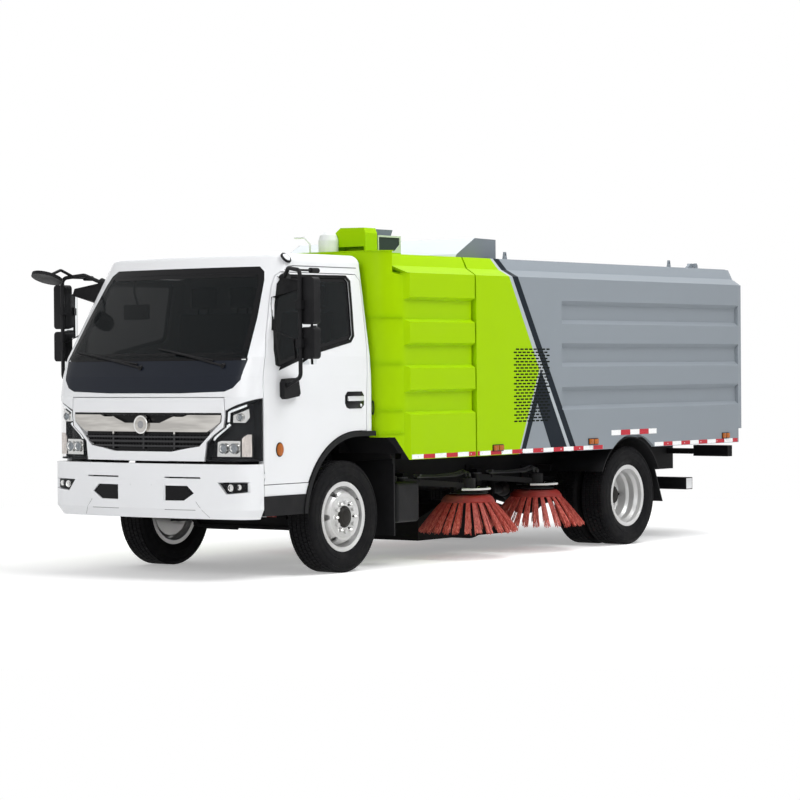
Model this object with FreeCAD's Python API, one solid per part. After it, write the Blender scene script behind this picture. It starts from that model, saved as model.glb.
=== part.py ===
import FreeCAD, Part
import math
import os

# A street sweeper truck: a forward-control cab truck that carries a water tank, a tipping dust hopper,
# four disc brushes and a suction nozzle. Millimetres. +Z is up, the truck faces -Y, its left side is +X,
# and the origin is on the ground below the middle of its outline.

V = FreeCAD.Vector

# Driving dimensions of the whole truck
overall_length = 6900.0
front_overhang = 1210.0
wheelbase = 3800.0
front_y = -overall_length / 2
rear_y = overall_length / 2
front_axle_y = front_y + front_overhang
rear_axle_y = front_axle_y + wheelbase
running_gap = 6.0
seat_gap = 0.3

# Wheels and tyres
tyre_radius = 420.0
tyre_width = 240.0
rim_flange_radius = 260.0
rim_well_radius = 222.0
rim_width = 190.0
rim_wall = 9.0
front_track = 1680.0
rear_track = 1650.0
dual_spacing = 280.0
stud_circle_radius = 111.0
stud_count = 6
nut_radius = 16.0
hub_radius = 78.0
hand_hole_radius = 24.0
brake_drum_radius = 190.0

# Ladder frame
rail_outer_x = 430.0
rail_height = 220.0
rail_flange = 65.0
rail_wall = 8.0
rail_top = 800.0
rail_bottom = rail_top - rail_height
rail_front_y = front_y + 145.0
rail_rear_y = rear_y - 80.0
tow_plate = 12.0
tow_z = 690.0
tow_spacing_x = 160.0
tow_spacing_z = 100.0
tow_hole_radius = 10.5
subframe_width = 60.0
subframe_height = 80.0
subframe_top = rail_top + subframe_height

# Axles and steering
kingpin_x = 680.0
kingpin_radius = 15.0
pin_clearance = 0.05
axle_eye_radius = 36.0
axle_eye_height = 90.0
knuckle_ear = 30.0
spindle_radius = 30.0
steering_arm_length = 190.0
tie_rod_radius = 16.0
ball_radius = 11.0

# Cab
cab_half_width = 975.0
cab_roof_z = 2385.0
roof_fillet = 75.0
roof_set_back = 10.0
cab_floor_z = 1100.0
cab_floor_thickness = 40.0
cab_wall = 45.0
cab_rear_y = front_axle_y + 348.0
cab_lower_z = 862.0
arch_radius = 651.0
arch_y = front_axle_y + 127.0
arch_z = 405.0
arch_top = arch_z + arch_radius
panel_gap = 6.0
lid_depth = 38.0
bar_top_z = 1201.0
lamp_depth = 75.0
cab_pivot_y = front_y + 120.0
cab_pivot_z = 620.0
cab_pivot_radius = 20.0
door_hinge_inset = 4.0
hinge_pin_radius = 4.0
glass_thickness = 8.0
door_front_y = front_axle_y - 965.0
door_rear_y = front_axle_y + 245.0
door_bottom_z = 698.0
door_top_z = 2236.0
belt_z = 1620.0
flare_width = 38.0
step_top_z = 613.0
step_bottom_z = 468.0
lid_top_z = 1325.0
cowl_bottom_z = 1358.0

# Bumper
bumper_wall = 55.0
fog_back_y = front_y + 115.0
plate_spacing = 210.0
plate_z = 690.0
plate_hole_radius = 3.5
plate_pad_half = 218.0
plate_pad_low = 563.0
plate_pad_high = 727.0

# Sweeper body
body_half_width = 1130.0
body_bottom = 830.0
body_side_top = 2255.0
body_roof_z = 2400.0
body_wall = 60.0
groove_depth = 35.0
tank_front_y = front_axle_y + 380.0
tank_rear_y = front_axle_y + 1455.0
tank_corner_radius = 210.0
module_gap = 20.0
hopper_front_y = tank_rear_y + module_gap
hopper_rear_y = front_axle_y + 5600.0
hopper_floor_z = 950.0
hopper_floor_thickness = 40.0
tailgate_thickness = 60.0
lip_thickness = 6.0
lip_reach = 12.0
deck_z = body_roof_z + 26.0
hood_sides = (439.0, 713.0)
tip_hinge_y = hopper_rear_y - 60.0
tip_hinge_z = 900.0
tip_pin_radius = 16.0
gate_hinge_y = hopper_rear_y + 22.0
gate_hinge_z = body_roof_z + 45.0
rear_arch_radius = 530.0
lifting_lug_ys = (front_axle_y + 2140.0, front_axle_y + 4700.0)

# Lift cylinders of the hopper
tip_x = 220.0
tip_base_y = rear_axle_y + 500.0
tip_base_z = 700.0
tip_pin_y = front_axle_y + 3250.0
tip_pin_z = 880.0
tip_eye_bore = 18.0
tip_lug_gap = 68.0

# Sweeping gear
brush_tip_radius = 405.0
brush_disc_radius = 205.0
brush_tip_z = 200.0
brush_disc_bottom_z = 470.0
brush_disc_thickness = 32.0
brush_tufts = 26
front_brush = (820.0, front_axle_y + 1780.0)
rear_brush = (790.0, front_axle_y + 2800.0)
arm_pivot_x = 500.0
arm_pivot_reach = 450.0
nozzle_half_width = 325.0
nozzle_front_y = front_axle_y + 1770.0
nozzle_rear_y = front_axle_y + 3070.0
nozzle_bottom = 120.0
nozzle_top = 400.0
duct_x = -215.0


def box(x0, x1, y0, y1, z0, z1):
    """A block between two opposite corners."""
    return Part.makeBox(x1 - x0, y1 - y0, z1 - z0, V(x0, y0, z0))


def bar(start, end, radius):
    """A round bar between two points."""
    a = V(*start)
    b = V(*end)
    return Part.makeCylinder(radius, (b - a).Length, a, b - a)


def prism(points, travel):
    """A flat outline of three-dimensional points, pushed along a vector."""
    corners = [V(*p) for p in points]
    wire = Part.makePolygon(corners + [corners[0]])
    return Part.Face(wire).extrude(V(*travel))


def prism_x(points, x0, x1):
    """A side-view outline of (y, z) points between two x planes."""
    return prism([(x0, y, z) for y, z in points], (x1 - x0, 0, 0))


def prism_y(points, y0, y1):
    """A front-view outline of (x, z) points between two y planes."""
    return prism([(x, y0, z) for x, z in points], (0, y1 - y0, 0))


def prism_z(points, z0, z1):
    """A plan outline of (x, y) points between two levels."""
    return prism([(x, y, z0) for x, y in points], (0, 0, z1 - z0))


def frustum_x(x0, outline0, x1, outline1):
    """A tapered block whose (y, z) outline changes from one x plane to the other."""
    ends = []
    for x, outline in ((x0, outline0), (x1, outline1)):
        corners = [V(x, y, z) for y, z in outline]
        ends.append(Part.makePolygon(corners + [corners[0]]))
    return Part.makeLoft(ends, True, True)


def rectangle(y0, y1, z0, z1):
    """The four (y, z) corners of a rectangle."""
    return [(y0, z0), (y1, z0), (y1, z1), (y0, z1)]


def revolved(profile, centre, angle=360.0):
    """A turned form about a wheel axis along X, from (x, radius) points."""
    corners = [V(x, 0, r) for x, r in profile]
    face = Part.Face(Part.makePolygon(corners + [corners[0]]))
    solid = face.revolve(V(0, 0, 0), V(1, 0, 0), angle)
    solid.translate(V(*centre))
    return solid


def turned(profile, centre):
    """A turned form about an upright axis, from (radius, z) points."""
    corners = [V(r, 0, z) for r, z in profile]
    face = Part.Face(Part.makePolygon(corners + [corners[0]]))
    solid = face.revolve(V(0, 0, 0), V(0, 0, 1), 360)
    solid.translate(V(*centre))
    return solid


def bent_tube(points, radius, bend):
    """A round tube along straight runs joined by tangent bends."""
    corners = [V(*p) for p in points]
    edges = []
    start = corners[0]
    for before, corner, after in zip(corners, corners[1:], corners[2:]):
        u = (before - corner).normalize()
        w = (after - corner).normalize()
        half_turn = (math.pi - u.getAngle(w)) / 2
        setback = bend * math.tan(half_turn)
        first = corner + u * setback
        last = corner + w * setback
        middle = corner + (u + w).normalize() * (bend / math.cos(half_turn) - bend)
        edges.append(Part.LineSegment(start, first).toShape())
        edges.append(Part.Arc(first, middle, last).toShape())
        start = last
    edges.append(Part.LineSegment(start, corners[-1]).toShape())
    path = Part.Wire(edges)
    profile = Part.Wire(Part.makeCircle(radius, corners[0], corners[1] - corners[0]))
    return path.makePipeShell([profile], True, False)


def fused(*pieces):
    """One solid from several that touch."""
    return pieces[0].multiFuse(list(pieces[1:])).removeSplitter()


def mirrored(shape):
    """The same piece on the other side of the truck."""
    return shape.mirror(V(0, 0, 0), V(1, 0, 0))


def pair(shape):
    """A piece and its twin on the other side."""
    return [shape, mirrored(shape)]


def solids_of(*shapes):
    """Every solid of the given shapes, in one list."""
    return [solid for shape in shapes for solid in shape.Solids]


def save(node, *shapes):
    """Writes one node's solids to its STEP file."""
    solids = solids_of(*shapes)
    whole = solids[0] if len(solids) == 1 else Part.makeCompound(solids)
    for solid in solids:
        if not solid.isValid() or solid.Volume <= 0:
            print("not a valid solid:", node)
    whole.exportStep("parts/" + node + ".step")


# Cab outer form

def cab_section(z, nose_y, half_width, tail_y, corner_depth, inset):
    """A plan outline of the cab at one level, with a bowed front and rounded corners."""
    x_side = half_width - inset
    y_nose = nose_y + inset
    y_tail = tail_y - inset
    bow = 58.0
    corner_x = x_side - 190.0
    corner_y = y_nose + bow
    side_y = corner_y + corner_depth
    slope = 2 * bow / corner_x
    pull_y = corner_y + min(slope * (x_side - corner_x), 0.4 * corner_depth)
    tail_radius = 60.0
    nose = Part.Arc(V(-corner_x, corner_y, z), V(0, y_nose, z), V(corner_x, corner_y, z)).toShape()
    corner = Part.BezierCurve()
    corner.setPoles([V(corner_x, corner_y, z), V(x_side, pull_y, z), V(x_side, side_y, z)])
    corner = corner.toShape()
    side = Part.LineSegment(V(x_side, side_y, z), V(x_side, y_tail - tail_radius, z)).toShape()
    tail_middle = tail_radius * (1 - math.sqrt(0.5))
    tail = Part.Arc(V(x_side, y_tail - tail_radius, z), V(x_side - tail_middle, y_tail - tail_middle, z),
                    V(x_side - tail_radius, y_tail, z)).toShape()
    back = Part.LineSegment(V(x_side - tail_radius, y_tail, z), V(tail_radius - x_side, y_tail, z)).toShape()
    far = [edge.mirror(V(0, 0, 0), V(1, 0, 0)) for edge in (tail, side, corner)]
    return Part.Wire([nose, corner, side, tail, back] + far)


def cab_form(inset, bottom_z, top_z):
    """The closed outer form of the cab, drawn in by a wall's thickness."""
    stations = [
        (430.0, front_y + 14, cab_half_width - 2, cab_rear_y, 165.0),
        (1330.0, front_y + 24, cab_half_width, cab_rear_y, 165.0),
        (1480.0, front_y + 48, cab_half_width - 3, cab_rear_y, 155.0),
        (belt_z, front_y + 95, cab_half_width - 12, cab_rear_y, 140.0),
        (cab_roof_z, front_y + 545, cab_half_width - 112, cab_rear_y - roof_set_back, 90.0),
    ]
    bands = []
    for low, high in zip(stations, stations[1:]):
        bands.append(Part.makeLoft([cab_section(*low, inset), cab_section(*high, inset)], True, True))
    form = fused(*bands)
    return form.common(box(-2000, 2000, front_y - 500, rear_y, bottom_z, top_z))


def cab_outer():
    """The cab's outer form with a rounded roof."""
    form = cab_form(0.0, step_bottom_z, cab_roof_z)
    rim = [e for e in form.Edges if min(v.Z for v in e.Vertexes) > cab_roof_z - 1]
    return form.makeFillet(roof_fillet, rim)


def cab_wall_between(outer_inset, inner_inset, form=None):
    """The layer of the cab wall between two depths."""
    outside = form if form else cab_form(outer_inset, step_bottom_z, cab_roof_z)
    inside = cab_form(inner_inset, step_bottom_z - 50, cab_roof_z + 50)
    return outside.cut(inside)


def arch_cylinder(radius, x0, x1):
    """The round opening over the front wheel."""
    return bar((x0, arch_y, arch_z), (x1, arch_y, arch_z), radius)


def windshield_outline(grow=0.0):
    """Front view of the glass opening."""
    right = [(880 + grow, 1604 - grow), (838 + grow, 1903.0), (779 + grow, 2179.0), (752 + grow, 2245.0),
             (699.0, 2283 + grow)]
    return right + [(-x, z) for x, z in reversed(right)]


def cowl_outline(grow=0.0):
    """Front view of the dark panel below the glass."""
    right = [(350.0, cowl_bottom_z - grow), (740 + grow, cowl_bottom_z + 12 - grow), (809 + grow, 1396 - grow),
             (862 + grow, 1455 - grow), (872 + grow, 1530.0), (885 + grow, 1598 + grow)]
    return right + [(-x, z) for x, z in reversed(right)]


def lamp_inner_edge(grow=0.0):
    """Front view of the line where the lid meets the headlamp, from bottom to top."""
    return [(572 + grow, cab_lower_z), (590 + grow, 1003.0), (650 + grow, 1055.0), (735 + grow, 1113.0),
            (747 + grow, 1190.0), (747 + grow, 1234.0)]


def lid_outline(shrink=0.0):
    """Front view of the lifting panel between the headlamps."""
    edge = [(x - shrink, z) for x, z in lamp_inner_edge()]
    right = [(edge[0][0], cab_lower_z + 4 + shrink)] + edge[1:] + [(740 - shrink, lid_top_z - shrink)]
    return right + [(-x, z) for x, z in reversed(right)]


def lamp_outline(shrink=0.0):
    """Front view of the left headlamp."""
    edge = [(x + shrink, z) for x, z in lamp_inner_edge(panel_gap)]
    edge[0] = (edge[0][0], cab_lower_z + 4 + shrink)
    edge[-1] = (edge[-1][0], 1234.0 - shrink)
    return edge + [(833.0, 1270.0 - shrink), (931.0, 1305.0 - shrink), (1000 - shrink, 1332.0 - shrink),
                   (1000 - shrink, cab_lower_z + 4 + shrink)]


def door_outline(grow=0.0):
    """Side view of the door, apart from its wheel-arch edge."""
    a = front_axle_y
    y0 = door_front_y - grow
    y1 = door_rear_y + grow
    z0 = door_bottom_z - grow
    front = [(y0, z0), (y0, 1470.0), (a - 936 - grow, 1594.0), (a - 880 - grow, 1775.0), (a - 781 - grow, 1994.0),
             (a - 706 - grow, 2141.0), (a - 660 - grow, 2215.0), (a - 630, door_top_z + grow)]
    return front + [(y1 - 10, door_top_z + grow), (y1 + 36, 2190.0), (y1 + 38, 2068.0), (y1 + 34, 1742.0),
                    (y1 + 17, 1526.0), (y1, 1300.0), (y1, z0)]


def side_window_outline(grow=0.0):
    """Side view of the window in the door."""
    a = front_axle_y
    return [(a - 771, 1543 - grow), (a - 411, 1648 - grow), (a + 86, 1742 - grow), (a + 123 + grow, 1779),
            (a + 140 + grow, 2006), (a + 148 + grow, 2180), (a + 111, 2210 + grow), (a - 591, 2204 + grow),
            (a - 651 - grow, 2190), (a - 685 - grow, 2150), (a - 755 - grow, 1994), (a - 808 - grow, 1812),
            (a - 828 - grow, 1667), (a - 821 - grow, 1558)]


def side_cutter(outline, side, depth=205.0):
    """A side-view outline pushed through one side wall of the cab."""
    inner = side * (cab_half_width - depth)
    outer = side * (cab_half_width + 200)
    return prism_x(outline, min(inner, outer), max(inner, outer))


def front_cutter(outline, back_y=front_y + 900):
    """A front-view outline pushed through the front wall of the cab."""
    return prism_y(outline, front_y - 100, back_y)


def build_cab(outer):
    """Cab shell: roof, pillars, back wall, floor and front frame, with its openings cut."""
    cavity = cab_form(cab_wall, cab_floor_z, cab_roof_z - cab_wall)
    underside = box(-cab_half_width + cab_wall, cab_half_width - cab_wall, front_y + 62, cab_rear_y + 100,
                    0, cab_floor_z - cab_floor_thickness)
    shell = outer.cut(cavity).cut(underside)
    shell = shell.cut(box(-2000, 2000, front_y - 100, door_front_y - panel_gap, 0, cab_lower_z))
    shell = shell.cut(box(-2000, 2000, arch_y, cab_rear_y + 100, 0, arch_top))
    shell = shell.cut(arch_cylinder(arch_radius, -2000, 2000))
    shell = shell.cut(front_cutter(windshield_outline()))
    lid_space = cab_wall_between(-5.0, lid_depth + seat_gap).common(front_cutter(lid_outline(-panel_gap)))
    shell = shell.cut(lid_space)
    cowl_space = cab_wall_between(-5.0, 16.0).common(front_cutter(cowl_outline(seat_gap)))
    shell = shell.cut(cowl_space)
    lamp_space = front_cutter(lamp_outline(-seat_gap), door_front_y - panel_gap)
    shell = shell.cut(lamp_space).cut(mirrored(lamp_space))
    door_layer = cab_wall_between(-5.0, cab_wall + panel_gap)
    for side in (1, -1):
        shell = shell.cut(door_layer.common(side_cutter(door_outline(panel_gap), side)))
        below = box(min(side * 800, side * 1100), max(side * 800, side * 1100), door_front_y - 10, front_axle_y,
                    0, door_bottom_z - panel_gap)
        shell = shell.cut(below)
    shell = max(shell.Solids, key=lambda s: s.Volume)
    for z in door_hinge_levels:
        carried, _, shell_space, _ = door_hinge(z)
        shell = shell.cut(shell_space).cut(mirrored(shell_space)).fuse(pair(carried))
    sill = side_cutter(rectangle(door_front_y, front_axle_y, step_top_z, door_bottom_z - panel_gap), 1)
    sill = cab_wall_between(0.0, cab_wall).common(sill).cut(arch_cylinder(arch_radius, -2000, 2000))
    save("cab_shell", max(shell.removeSplitter().Solids, key=lambda s: s.Volume), *pair(sill))


door_hinge_levels = (760.0, 1400.0)


def door_hinge(z):
    """One door hinge at a level: the cab's pin with its lugs, the door's barrel, and the room that each needs."""
    x = cab_half_width - door_hinge_inset
    y = door_front_y - panel_gap / 2
    outer = hinge_pin_radius + 4
    half = 30.0
    lug = 14.0
    pin = bar((x, y, z - half), (x, y, z + half), hinge_pin_radius)
    lugs = []
    for low in (z - half, z + half - lug):
        lugs.append(bar((x, y, low), (x, y, low + lug), outer))
        lugs.append(box(x - outer, x, y - 20, y, low, low + lug))
    cab_side = fused(pin, *lugs)
    low = z - half + lug + 1
    high = z + half - lug - 1
    barrel = fused(bar((x, y, low), (x, y, high), outer), box(x - outer, x, y, y + 20, low, high))
    barrel = barrel.cut(bar((x, y, low - 1), (x, y, high + 1), hinge_pin_radius + pin_clearance))
    shell_space = bar((x, y, low - 1), (x, y, high + 1), outer + 2)
    leaf_space = bar((x, y, z - half - 2), (x, y, z + half + 2), outer + 2)
    return cab_side, barrel, shell_space, leaf_space


def build_windshield():
    """Curved glass set flush in its opening."""
    glass = cab_wall_between(0.0, glass_thickness).common(front_cutter(windshield_outline(-seat_gap)))
    save("windshield", glass)


def build_cowl():
    """Dark panel below the glass, where the wipers stand."""
    panel = cab_wall_between(0.0, 15.0).common(front_cutter(cowl_outline()))
    save("cowl_panel", panel)


def front_face_y(x, z):
    """Where the cab's bowed front face lies at one place on the glass or the panel below it."""
    nose = 48 + (z - 1480.0) * 47 / 140 if z < belt_z else 95 + (z - belt_z) * 450 / (cab_roof_z - belt_z)
    return front_y + nose + 58.0 * (x / (cab_half_width - 202)) ** 2


def build_wipers():
    """Two wipers: a spindle through the panel, an arm and a blade that follows the glass."""
    wipers = []
    for (pivot_x, pivot_z), (tip_x, tip_z), (heel_x, heel_z) in (((-51, 1551), (-766, 1661), (-90, 1572)),
                                                                 ((703, 1561), (80, 1682), (610, 1594))):
        pieces = [bar((pivot_x, front_face_y(pivot_x, pivot_z) + 22, pivot_z),
                      (pivot_x, front_face_y(pivot_x, pivot_z) - 20, pivot_z - 6), 17)]
        blade = []
        for share in (0.0, 0.33, 0.67, 1.0):
            x = tip_x + (heel_x - tip_x) * share
            z = tip_z + (heel_z - tip_z) * share
            blade.append((x, front_face_y(x, z) - 9, z))
        pieces += [bar(before, after, 7) for before, after in zip(blade, blade[1:])]
        pieces += [Part.makeSphere(7, V(*point)) for point in blade[1:-1]]
        middle = (blade[1][0], blade[1][1] - 13, blade[1][2])
        joint = (blade[2][0], blade[2][1] - 15, blade[2][2] - 4)
        start = (pivot_x, front_face_y(pivot_x, pivot_z) - 16, pivot_z - 5)
        pieces += [bar(start, joint, 8), bar(joint, middle, 7)]
        pieces += [Part.makeSphere(8, V(*joint)), Part.makeSphere(11, V(*middle))]
        wipers.append(fused(*pieces).cut(cab_form(-seat_gap, step_bottom_z, cab_roof_z)))
    save("wipers", *wipers)


def build_headlamps():
    """Wrap-round headlamps: a clear cover over a dark bowl, and the fog lamps' lenses."""
    back_y = door_front_y - panel_gap
    outline = front_cutter(lamp_outline(), back_y)
    cover = cab_wall_between(0.0, 7.0).common(outline)
    bowl = cab_wall_between(7.3, lamp_depth).common(outline)
    hollow = cab_wall_between(0.0, lamp_depth - 15).common(front_cutter(lamp_outline(12.0), back_y - 12))
    bowl = bowl.cut(hollow)
    save("lamp_lenses", *pair(cover), *fog_lamp_lenses())
    save("headlamp_housings", *pair(bowl))


def build_lid():
    """Lifting front panel with the grille opening, its bright bar and its slats."""
    skin = cab_wall_between(0.0, lid_depth)
    panel = skin.common(front_cutter(lid_outline()))
    mouth = [(280, 933), (413, 957), (530, 973), (606, 1044), (720, 1150), (726, bar_top_z + seat_gap)]
    mouth += [(-x, z) for x, z in reversed(mouth)]
    panel = panel.cut(front_cutter(mouth))
    save("lid_panel", panel)
    bright = [(600, 1078), (712, 1148), (722, bar_top_z), (430, bar_top_z), (385, 1187), (290, 1187), (170, 1142)]
    bright += [(-x, z) for x, z in reversed(bright)]
    bar_solid = cab_wall_between(-4.0, 26.0).common(front_cutter(bright))
    badge = bar((0, front_y + 2, 1130), (0, front_y + 40, 1130), 68)
    slats = []
    for centre_z, half_top, half_low in ((1040.0, 600.0, 590.0), (1008.0, 568.0, 553.0), (974.0, 534.0, 478.0)):
        outline = [(-half_top, centre_z + 7), (-half_low, centre_z - 7), (half_low, centre_z - 7),
                   (half_top, centre_z + 7)]
        slats.append(cab_wall_between(4.0, 34.0).common(front_cutter(outline)))
    posts = [box(x - 8, x + 8, front_y + 34, front_y + 52, 952, 1190) for x in (-300, 0, 300)]
    save("grille", fused(bar_solid, badge, *slats, *posts))


def build_flares():
    """Dark wheel-arch flares and entry steps."""
    x0 = cab_half_width - 260
    x1 = cab_half_width + 4
    ring = arch_cylinder(arch_radius - seat_gap, x1 - 60, x1 + 8)
    ring = ring.cut(arch_cylinder(arch_radius - flare_width, x1 - 80, x1 + 20))
    low = box(x1 - 80, x1 + 20, arch_y - 700, arch_y, -500, step_bottom_z)
    rear = box(x1 - 80, x1 + 20, arch_y, arch_y + 700, -500, 3000)
    ring = ring.cut(low).cut(rear)
    tail = box(x1 - 60, x1 + 8, arch_y, cab_rear_y, arch_top - flare_width, arch_top - seat_gap)
    tread = box(x0, x1, door_front_y - 4, front_axle_y - 450, step_bottom_z, step_top_z - seat_gap)
    tread = tread.cut(arch_cylinder(arch_radius - flare_width, x0 - 10, x1 + 10))
    well = box(x0 + 30, cab_half_width - cab_wall - 12, door_front_y + 30, front_axle_y - 640,
               step_top_z - 90, step_top_z + 5)
    riser = box(x0, x0 + 20, door_front_y + 10, front_axle_y - 600, step_top_z - 60,
                cab_floor_z - cab_floor_thickness - seat_gap)
    steps = fused(ring, tail, tread.cut(well), riser)
    save("cab_flares", *pair(steps))


def build_cab_interior():
    """Dashboard with the steering column and wheel."""
    a = front_axle_y
    foot = cab_floor_z + seat_gap
    dash = prism_x([(a - 1040, foot), (a - 930, foot), (a - 860, 1330), (a - 760, 1420), (a - 745, 1520),
                    (a - 800, 1560), (a - 1010, 1590), (a - 1040, 1560)], -880, 880)
    dash = dash.common(cab_form(lamp_depth + 3, step_bottom_z, cab_roof_z))
    hub = V(480, a - 560, 1600)
    tilt = V(0, 0.45, 0.89)
    ring = Part.makeTorus(205, 15, hub, tilt)
    boss = Part.makeCylinder(55, 50, hub - tilt * 45, tilt)
    spokes = [bar((480, a - 560, 1592), (480 + 200 * dx, a - 560 + 200 * dy, 1600 - 101 * dy), 13)
              for dx, dy in ((0.98, 0.17), (-0.98, 0.17), (0.0, -0.89))]
    column = bar((480, a - 575, 1570), (480, a - 800, 1450), 32)
    wheel = fused(ring, boss, column, *spokes)
    save("cab_interior", fused(dash, wheel))


def build_seats():
    """Driver's seat and a double seat."""
    a = front_axle_y
    seats = []
    for x0, x1 in ((230, 730), (-800, 90)):
        base = box(x0, x1, a - 380, a + 100, cab_floor_z + seat_gap, cab_floor_z + 160)
        cushion = box(x0 - 10, x1 + 10, a - 430, a + 110, cab_floor_z + 160, cab_floor_z + 290)
        back = prism_x([(a + 30, cab_floor_z + 270), (a + 160, cab_floor_z + 270), (a + 250, cab_floor_z + 880),
                        (a + 150, cab_floor_z + 890)], x0 - 5, x1 + 5)
        heads = [prism_x([(a + 165, cab_floor_z + 860), (a + 245, cab_floor_z + 860), (a + 262, cab_floor_z + 1080),
                          (a + 185, cab_floor_z + 1085)], c - 130, c + 130)
                 for c in ([480] if x0 > 0 else [-600, -200])]
        seats.append(fused(base, cushion, back, *heads))
    save("seats", *seats)


def build_door(name, side):
    """One door: a full-depth leaf with its window cut, and the glass in it."""
    leaf = cab_wall_between(0.0, cab_wall).common(side_cutter(door_outline(), side))
    leaf = leaf.cut(arch_cylinder(arch_radius + panel_gap, -2000, 2000))
    leaf = leaf.cut(box(-2000, 2000, arch_y, arch_y + 600, 0, arch_top + panel_gap))
    leaf = leaf.cut(side_cutter(side_window_outline(), side))
    leaf = max(leaf.Solids, key=lambda s: s.Volume)
    turn = (lambda s: s) if side > 0 else mirrored
    for z in door_hinge_levels:
        _, barrel, _, leaf_space = door_hinge(z)
        leaf = leaf.cut(turn(leaf_space)).fuse(turn(barrel))
    save("door_" + name, max(leaf.removeSplitter().Solids, key=lambda s: s.Volume))
    glass = cab_wall_between(12.0, 12.0 + glass_thickness).common(side_cutter(side_window_outline(-seat_gap), side))
    save("door_glass_" + name, glass)


def build_mirror(name, side):
    """Mirror on a tube frame that is carried by the door's top corner and its lower skin."""
    a = front_axle_y
    tube_x = 1175.0
    tube_y = a - 790.0
    frame = bent_tube([(905, a - 630, 2200), (1010, a - 720, 2262), (tube_x, tube_y, 2240), (tube_x, tube_y, 1470),
                       (1000, a - 745, 1400)], 15, 45)
    foot = prism_x([(a - 783, 1330), (a - 760, 1310), (a - 610, 1330), (a - 595, 1352), (a - 612, 1440),
                    (a - 650, 1464), (a - 762, 1458), (a - 783, 1430)], cab_half_width - 15, 1018)
    top_foot = bar((860, a - 622, 2184), (925, a - 622, 2208), 34)
    main = housing(tube_x - 10, tube_x + 112, a - 770, 1850, 2190)
    wide = housing(tube_x - 10, tube_x + 112, a - 770, 1600, 1830)
    clamps = [box(tube_x - 26, tube_x + 26, tube_y - 24, a - 750, z - 32, z + 32) for z in (1990, 1715)]
    stalk = bar((1120, a - 765, 2244), (1120, a - 560, 2244), 8)
    capsule = fused(bar((1120, a - 600, 2244), (1120, a - 520, 2244), 20), Part.makeSphere(20, V(1120, a - 520, 2244)))
    whole = fused(frame, foot, top_foot, main, wide, stalk, capsule, *clamps)
    if side < 0:
        whole = mirrored(whole)
        head = Part.makeCylinder(120, 26, V(-1120, a - 1010, 2250), V(0, -0.35, -0.93))
        arm = bent_tube([(-1092, a - 755, 2250), (-1105, a - 880, 2300), (-1120, a - 1005, 2250)], 11, 30)
        whole = fused(whole, head, arm)
    whole = whole.cut(cab_form(-seat_gap, step_bottom_z, cab_roof_z))
    save("mirror_" + name, max(whole.Solids, key=lambda s: s.Volume))


def housing(x0, x1, y0, z0, z1):
    """A mirror housing: a rounded shallow shell that faces backwards."""
    shell = box(x0, x1, y0, y0 + 75, z0, z1)
    edges = [e for e in shell.Edges if abs(e.Vertexes[0].Y - e.Vertexes[-1].Y) > 1]
    shell = shell.makeFillet(28, edges)
    return shell.cut(box(x0 + 10, x1 - 10, y0 + 60, y0 + 80, z0 + 10, z1 - 10))


# Running gear

def build_frame():
    """Two channel rails, and the crossmembers that tie them."""
    rail = box(rail_outer_x - rail_flange, rail_outer_x, rail_front_y, rail_rear_y, rail_bottom, rail_top)
    rail = rail.cut(box(rail_outer_x - rail_flange - 1, rail_outer_x - rail_wall, rail_front_y - 1, rail_rear_y + 1,
                        rail_bottom + rail_wall, rail_top - rail_wall))
    save("frame_rails", *pair(rail))
    half = rail_outer_x - rail_wall - seat_gap
    members = []
    for y in (rail_front_y + 60, front_axle_y + 1420, front_axle_y + 2050, front_axle_y + 3120,
              rear_axle_y + 700):
        member = box(-half, half, y - 40, y + 40, rail_top - 125, rail_top - 10)
        member = member.cut(box(-half - 1, half + 1, y - 30, y + 41, rail_top - 115, rail_top - 20))
        members.append(member)
    tow = box(-half, half, rail_rear_y - 60, rail_rear_y, rail_bottom + 10, rail_top - 10)
    tow = tow.cut(box(-half - 1, half + 1, rail_rear_y - 61, rail_rear_y - tow_plate, rail_bottom + 20, rail_top - 20))
    for x in (-tow_spacing_x / 2, tow_spacing_x / 2):
        for z in (tow_z - tow_spacing_z / 2, tow_z + tow_spacing_z / 2):
            tow = tow.cut(bar((x, rail_rear_y - 70, z), (x, rail_rear_y + 10, z), tow_hole_radius))
    shaft = bar((-half, tip_base_y, tip_base_z), (half, tip_base_y, tip_base_z), tip_eye_bore - pin_clearance)
    save("frame_crossmembers", cab_pivot(), *members, tow, shaft)


def build_subframe():
    """Body bearers on the rails, with the outriggers and the hopper's hinge brackets."""
    x0 = rail_outer_x - subframe_width
    runner = box(x0, rail_outer_x, tank_front_y + 70, tip_hinge_y - 70, rail_top + seat_gap, subframe_top)
    outriggers = []
    for y in (tank_front_y + 160, tank_rear_y - 160):
        outriggers.append(prism_y([(rail_outer_x - 1, rail_top + seat_gap), (1000, subframe_top - 40),
                                   (1000, subframe_top), (rail_outer_x - 1, subframe_top)], y - 30, y + 30))
    bracket = prism_x([(tip_hinge_y - 130, rail_top + seat_gap), (tip_hinge_y + 60, rail_top + seat_gap),
                       (tip_hinge_y + 32, tip_hinge_z), (tip_hinge_y + 14, tip_hinge_z + 28),
                       (tip_hinge_y - 14, tip_hinge_z + 28), (tip_hinge_y - 40, tip_hinge_z)], x0, x0 + 24)
    pin = bar((x0, tip_hinge_y, tip_hinge_z), (x0 + 70, tip_hinge_y, tip_hinge_z), tip_pin_radius)
    save("subframe", *pair(fused(runner, bracket, pin, *outriggers)))


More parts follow.
